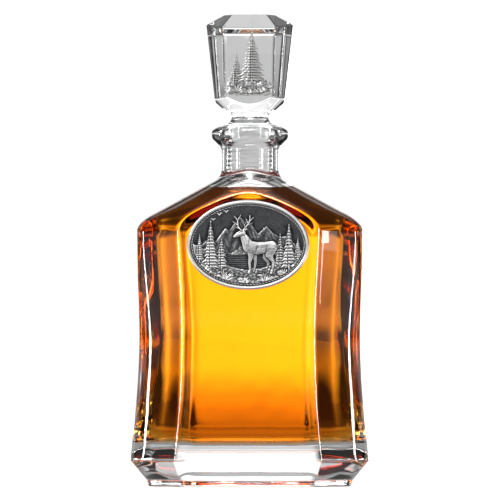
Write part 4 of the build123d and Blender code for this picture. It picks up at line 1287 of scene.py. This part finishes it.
world = bpy.data.worlds.new("studio")
bpy.context.scene.world = world
world.use_nodes = True
nt = world.node_tree
nt.nodes.clear()
wout = nt.nodes.new("ShaderNodeOutputWorld")
tc = nt.nodes.new("ShaderNodeTexCoord")
sep = nt.nodes.new("ShaderNodeSeparateXYZ")
nt.links.new(tc.outputs["Generated"], sep.inputs[0])
az = M(nt, "ABSOLUTE", M(nt, "ARCTAN2", sep.outputs["X"], sep.outputs["Y"]))
el = M(nt, "ARCSINE", sep.outputs["Z"])


def between(x, lo, hi, soft):
    """1 from lo to hi degrees with soft shoulders."""
    up = step_up(nt, x, (lo - soft) * DEG, (lo + soft) * DEG)
    return M(nt, "SUBTRACT", up, step_up(nt, x, (hi - soft) * DEG, (hi + soft) * DEG))


def steps(x, start, *falls):
    """start plus each (lo, hi, change) ramp of x in degrees."""
    out = None
    for lo, hi, change in falls:
        term = M(nt, "MULTIPLY_ADD", step_up(nt, x, lo * DEG, hi * DEG), change, start if out is None else out)
        out = term
    return out


back_level = steps(el, 3.8, (2.6, 3.8, -1.8), (4.5, 6.5, -0.9), (6.9, 8.2, 0.80), (8.7, 9.1, -1.35), (9.8, 10.2, 0.85), (26, 30, -1.35))
back_spread = steps(el, 6.6 * DEG, (0.3, 2.3, 1.0 * DEG), (3.4, 5.2, -2.1 * DEG), (11.5, 13.5, 8.5 * DEG), (15.5, 17.5, -9.0 * DEG))
lit = M(nt, "MULTIPLY", bell(nt, az, 0.0, back_spread), back_level)
bar = M(nt, "MULTIPLY", between(el, 9.8, 12.4, 0.4), between(az, 4.2, 6.6, 0.5))
lit = M(nt, "MULTIPLY", lit, M(nt, "MULTIPLY_ADD", bar, -0.85, 1.0))
for a0, a1, e0, e1, soft_a, soft_e, value in (
    (19, 28, 9.6, 12.4, 0.8, 0.4, 0.42),        # cards behind the stopper's slanting facets
    (21, 23.6, 9.6, 12.4, 0.5, 0.4, 0.50),
    (36.5, 42, 9.6, 12.6, 0.8, 0.4, 0.45),
    (45, 51, 9.6, 12.6, 1.0, 0.4, 0.25),
    (-9, 26, 25, 31, 8, 2, 0.60),               # above and behind
    (16, 64, 1.6, 5.5, 6, 1.0, 0.70),           # behind the neck
    (80, 104, -90, 3.0, 8, 2, 0.45),            # beside the object
    (0, 181, 60, 91, 1, 12, 1.3),               # overhead
):
    patch = between(el, e0, e1, soft_e)
    if a1 < 180:
        patch = M(nt, "MULTIPLY", patch, between(az, a0, a1, soft_a))
    lit = M(nt, "ADD", lit, M(nt, "MULTIPLY", patch, value))
lit = M(nt, "ADD", lit, M(nt, "MULTIPLY_ADD", step_up(nt, el, 46 * DEG, 60 * DEG), 0.12, 0.03))
bg_light = nt.nodes.new("ShaderNodeBackground")
bg_light.inputs["Color"].default_value = (1, 1, 1, 1)
nt.links.new(lit, bg_light.inputs["Strength"])
bg_seen = nt.nodes.new("ShaderNodeBackground")
bg_seen.inputs["Color"].default_value = (1, 1, 1, 1)
bg_seen.inputs["Strength"].default_value = 1.05
lp = nt.nodes.new("ShaderNodeLightPath")
mixw = nt.nodes.new("ShaderNodeMixShader")
nt.links.new(lp.outputs["Is Camera Ray"], mixw.inputs["Fac"])
nt.links.new(bg_light.outputs[0], mixw.inputs[1])
nt.links.new(bg_seen.outputs[0], mixw.inputs[2])
nt.links.new(mixw.outputs[0], wout.inputs["Surface"])


def panel(name, az_deg, dist, z_low, z_high, width, radiance, only=None, aim=None):
    """A soft panel at az degrees round from behind the object, facing it. It lights only the named pieces."""
    a = az_deg * DEG
    L = bpy.data.lights.new(name, "AREA")
    L.shape = "RECTANGLE"
    L.size, L.size_y = width, z_high - z_low
    L.energy = radiance * PI * width * (z_high - z_low)
    o = bpy.data.objects.new(name, L)
    mid = (z_low + z_high) / 2
    o.location = (dist * math.sin(a), dist * math.cos(a), mid)
    look = Vector((0, 0, mid if aim is None else aim)) - o.location
    o.rotation_euler = look.to_track_quat("-Z", "Y").to_euler()
    o.visible_camera = False
    bpy.context.scene.collection.objects.link(o)
    if only:
        c = bpy.data.collections.new(name + "_on")
        for piece in only:
            c.objects.link(piece)
        o.light_linking.receiver_collection = c
    return o


clear = [glass_body, stopper]
for side, sign in (("left", -1), ("right", 1)):
    panel("strip_" + side, sign * 128, 0.52, 0.004, 0.24, 0.060, 26, clear)
    panel("rim_" + side, sign * 77, 0.60, 0.004, 0.24, 0.045, 22, clear)
panel("window_right", 107.1, 0.20, 0.122, 0.140, 0.010, 16, clear)
panel("window_glow", 106.6, 0.20, 0.116, 0.141, 0.016, 2, clear)
panel("window_tail", 106.8, 0.20, 0.090, 0.124, 0.0024, 13, clear)
panel("key", -140, 1.2, 0.55, 1.15, 0.5, 12.0, [medallion, seal], 0.12)
panel("front", 176, 1.4, 0.30, 1.10, 1.1, 2.0, [medallion, seal], 0.12)
panel("above_back", 0, 1.0, 0.80, 1.35, 1.4, 0.9, [stopper], 0.2)
for side, sign in (("left", -1), ("right", 1)):
    panel("above_" + side, sign * 56, 1.0, 0.75, 1.35, 0.7, 0.75, [stopper], 0.2)
panel("front_high", 180, 0.78, 0.80, 1.35, 0.9, 16.0, [glass_body, stopper, seal], 0.17)
panel("key_high", -136, 1.2, 0.75, 1.25, 0.5, 18.0, [emblem], 0.22)

bpy.context.scene.view_settings.view_transform = "Standard"
cam = bpy.data.cameras.new("cam")
cam_o = bpy.data.objects.new("cam", cam)
bpy.context.scene.collection.objects.link(cam_o)
DIST, CAM_Z, AZ, CENTRE_Z = 2.8, 0.04, math.radians(1.6), (486 - 250) * 0.000515
cam_o.location = (DIST * math.sin(AZ), -DIST * math.cos(AZ), CAM_Z)
cam_o.rotation_euler = (Vector((0, 0, CENTRE_Z)) - cam_o.location).to_track_quat("-Z", "Y").to_euler()
cam.sensor_width = 36.0
cam.lens = 36.0 * DIST / (500 * 0.000515)
cam.clip_start = 0.05
bpy.context.scene.camera = cam_o
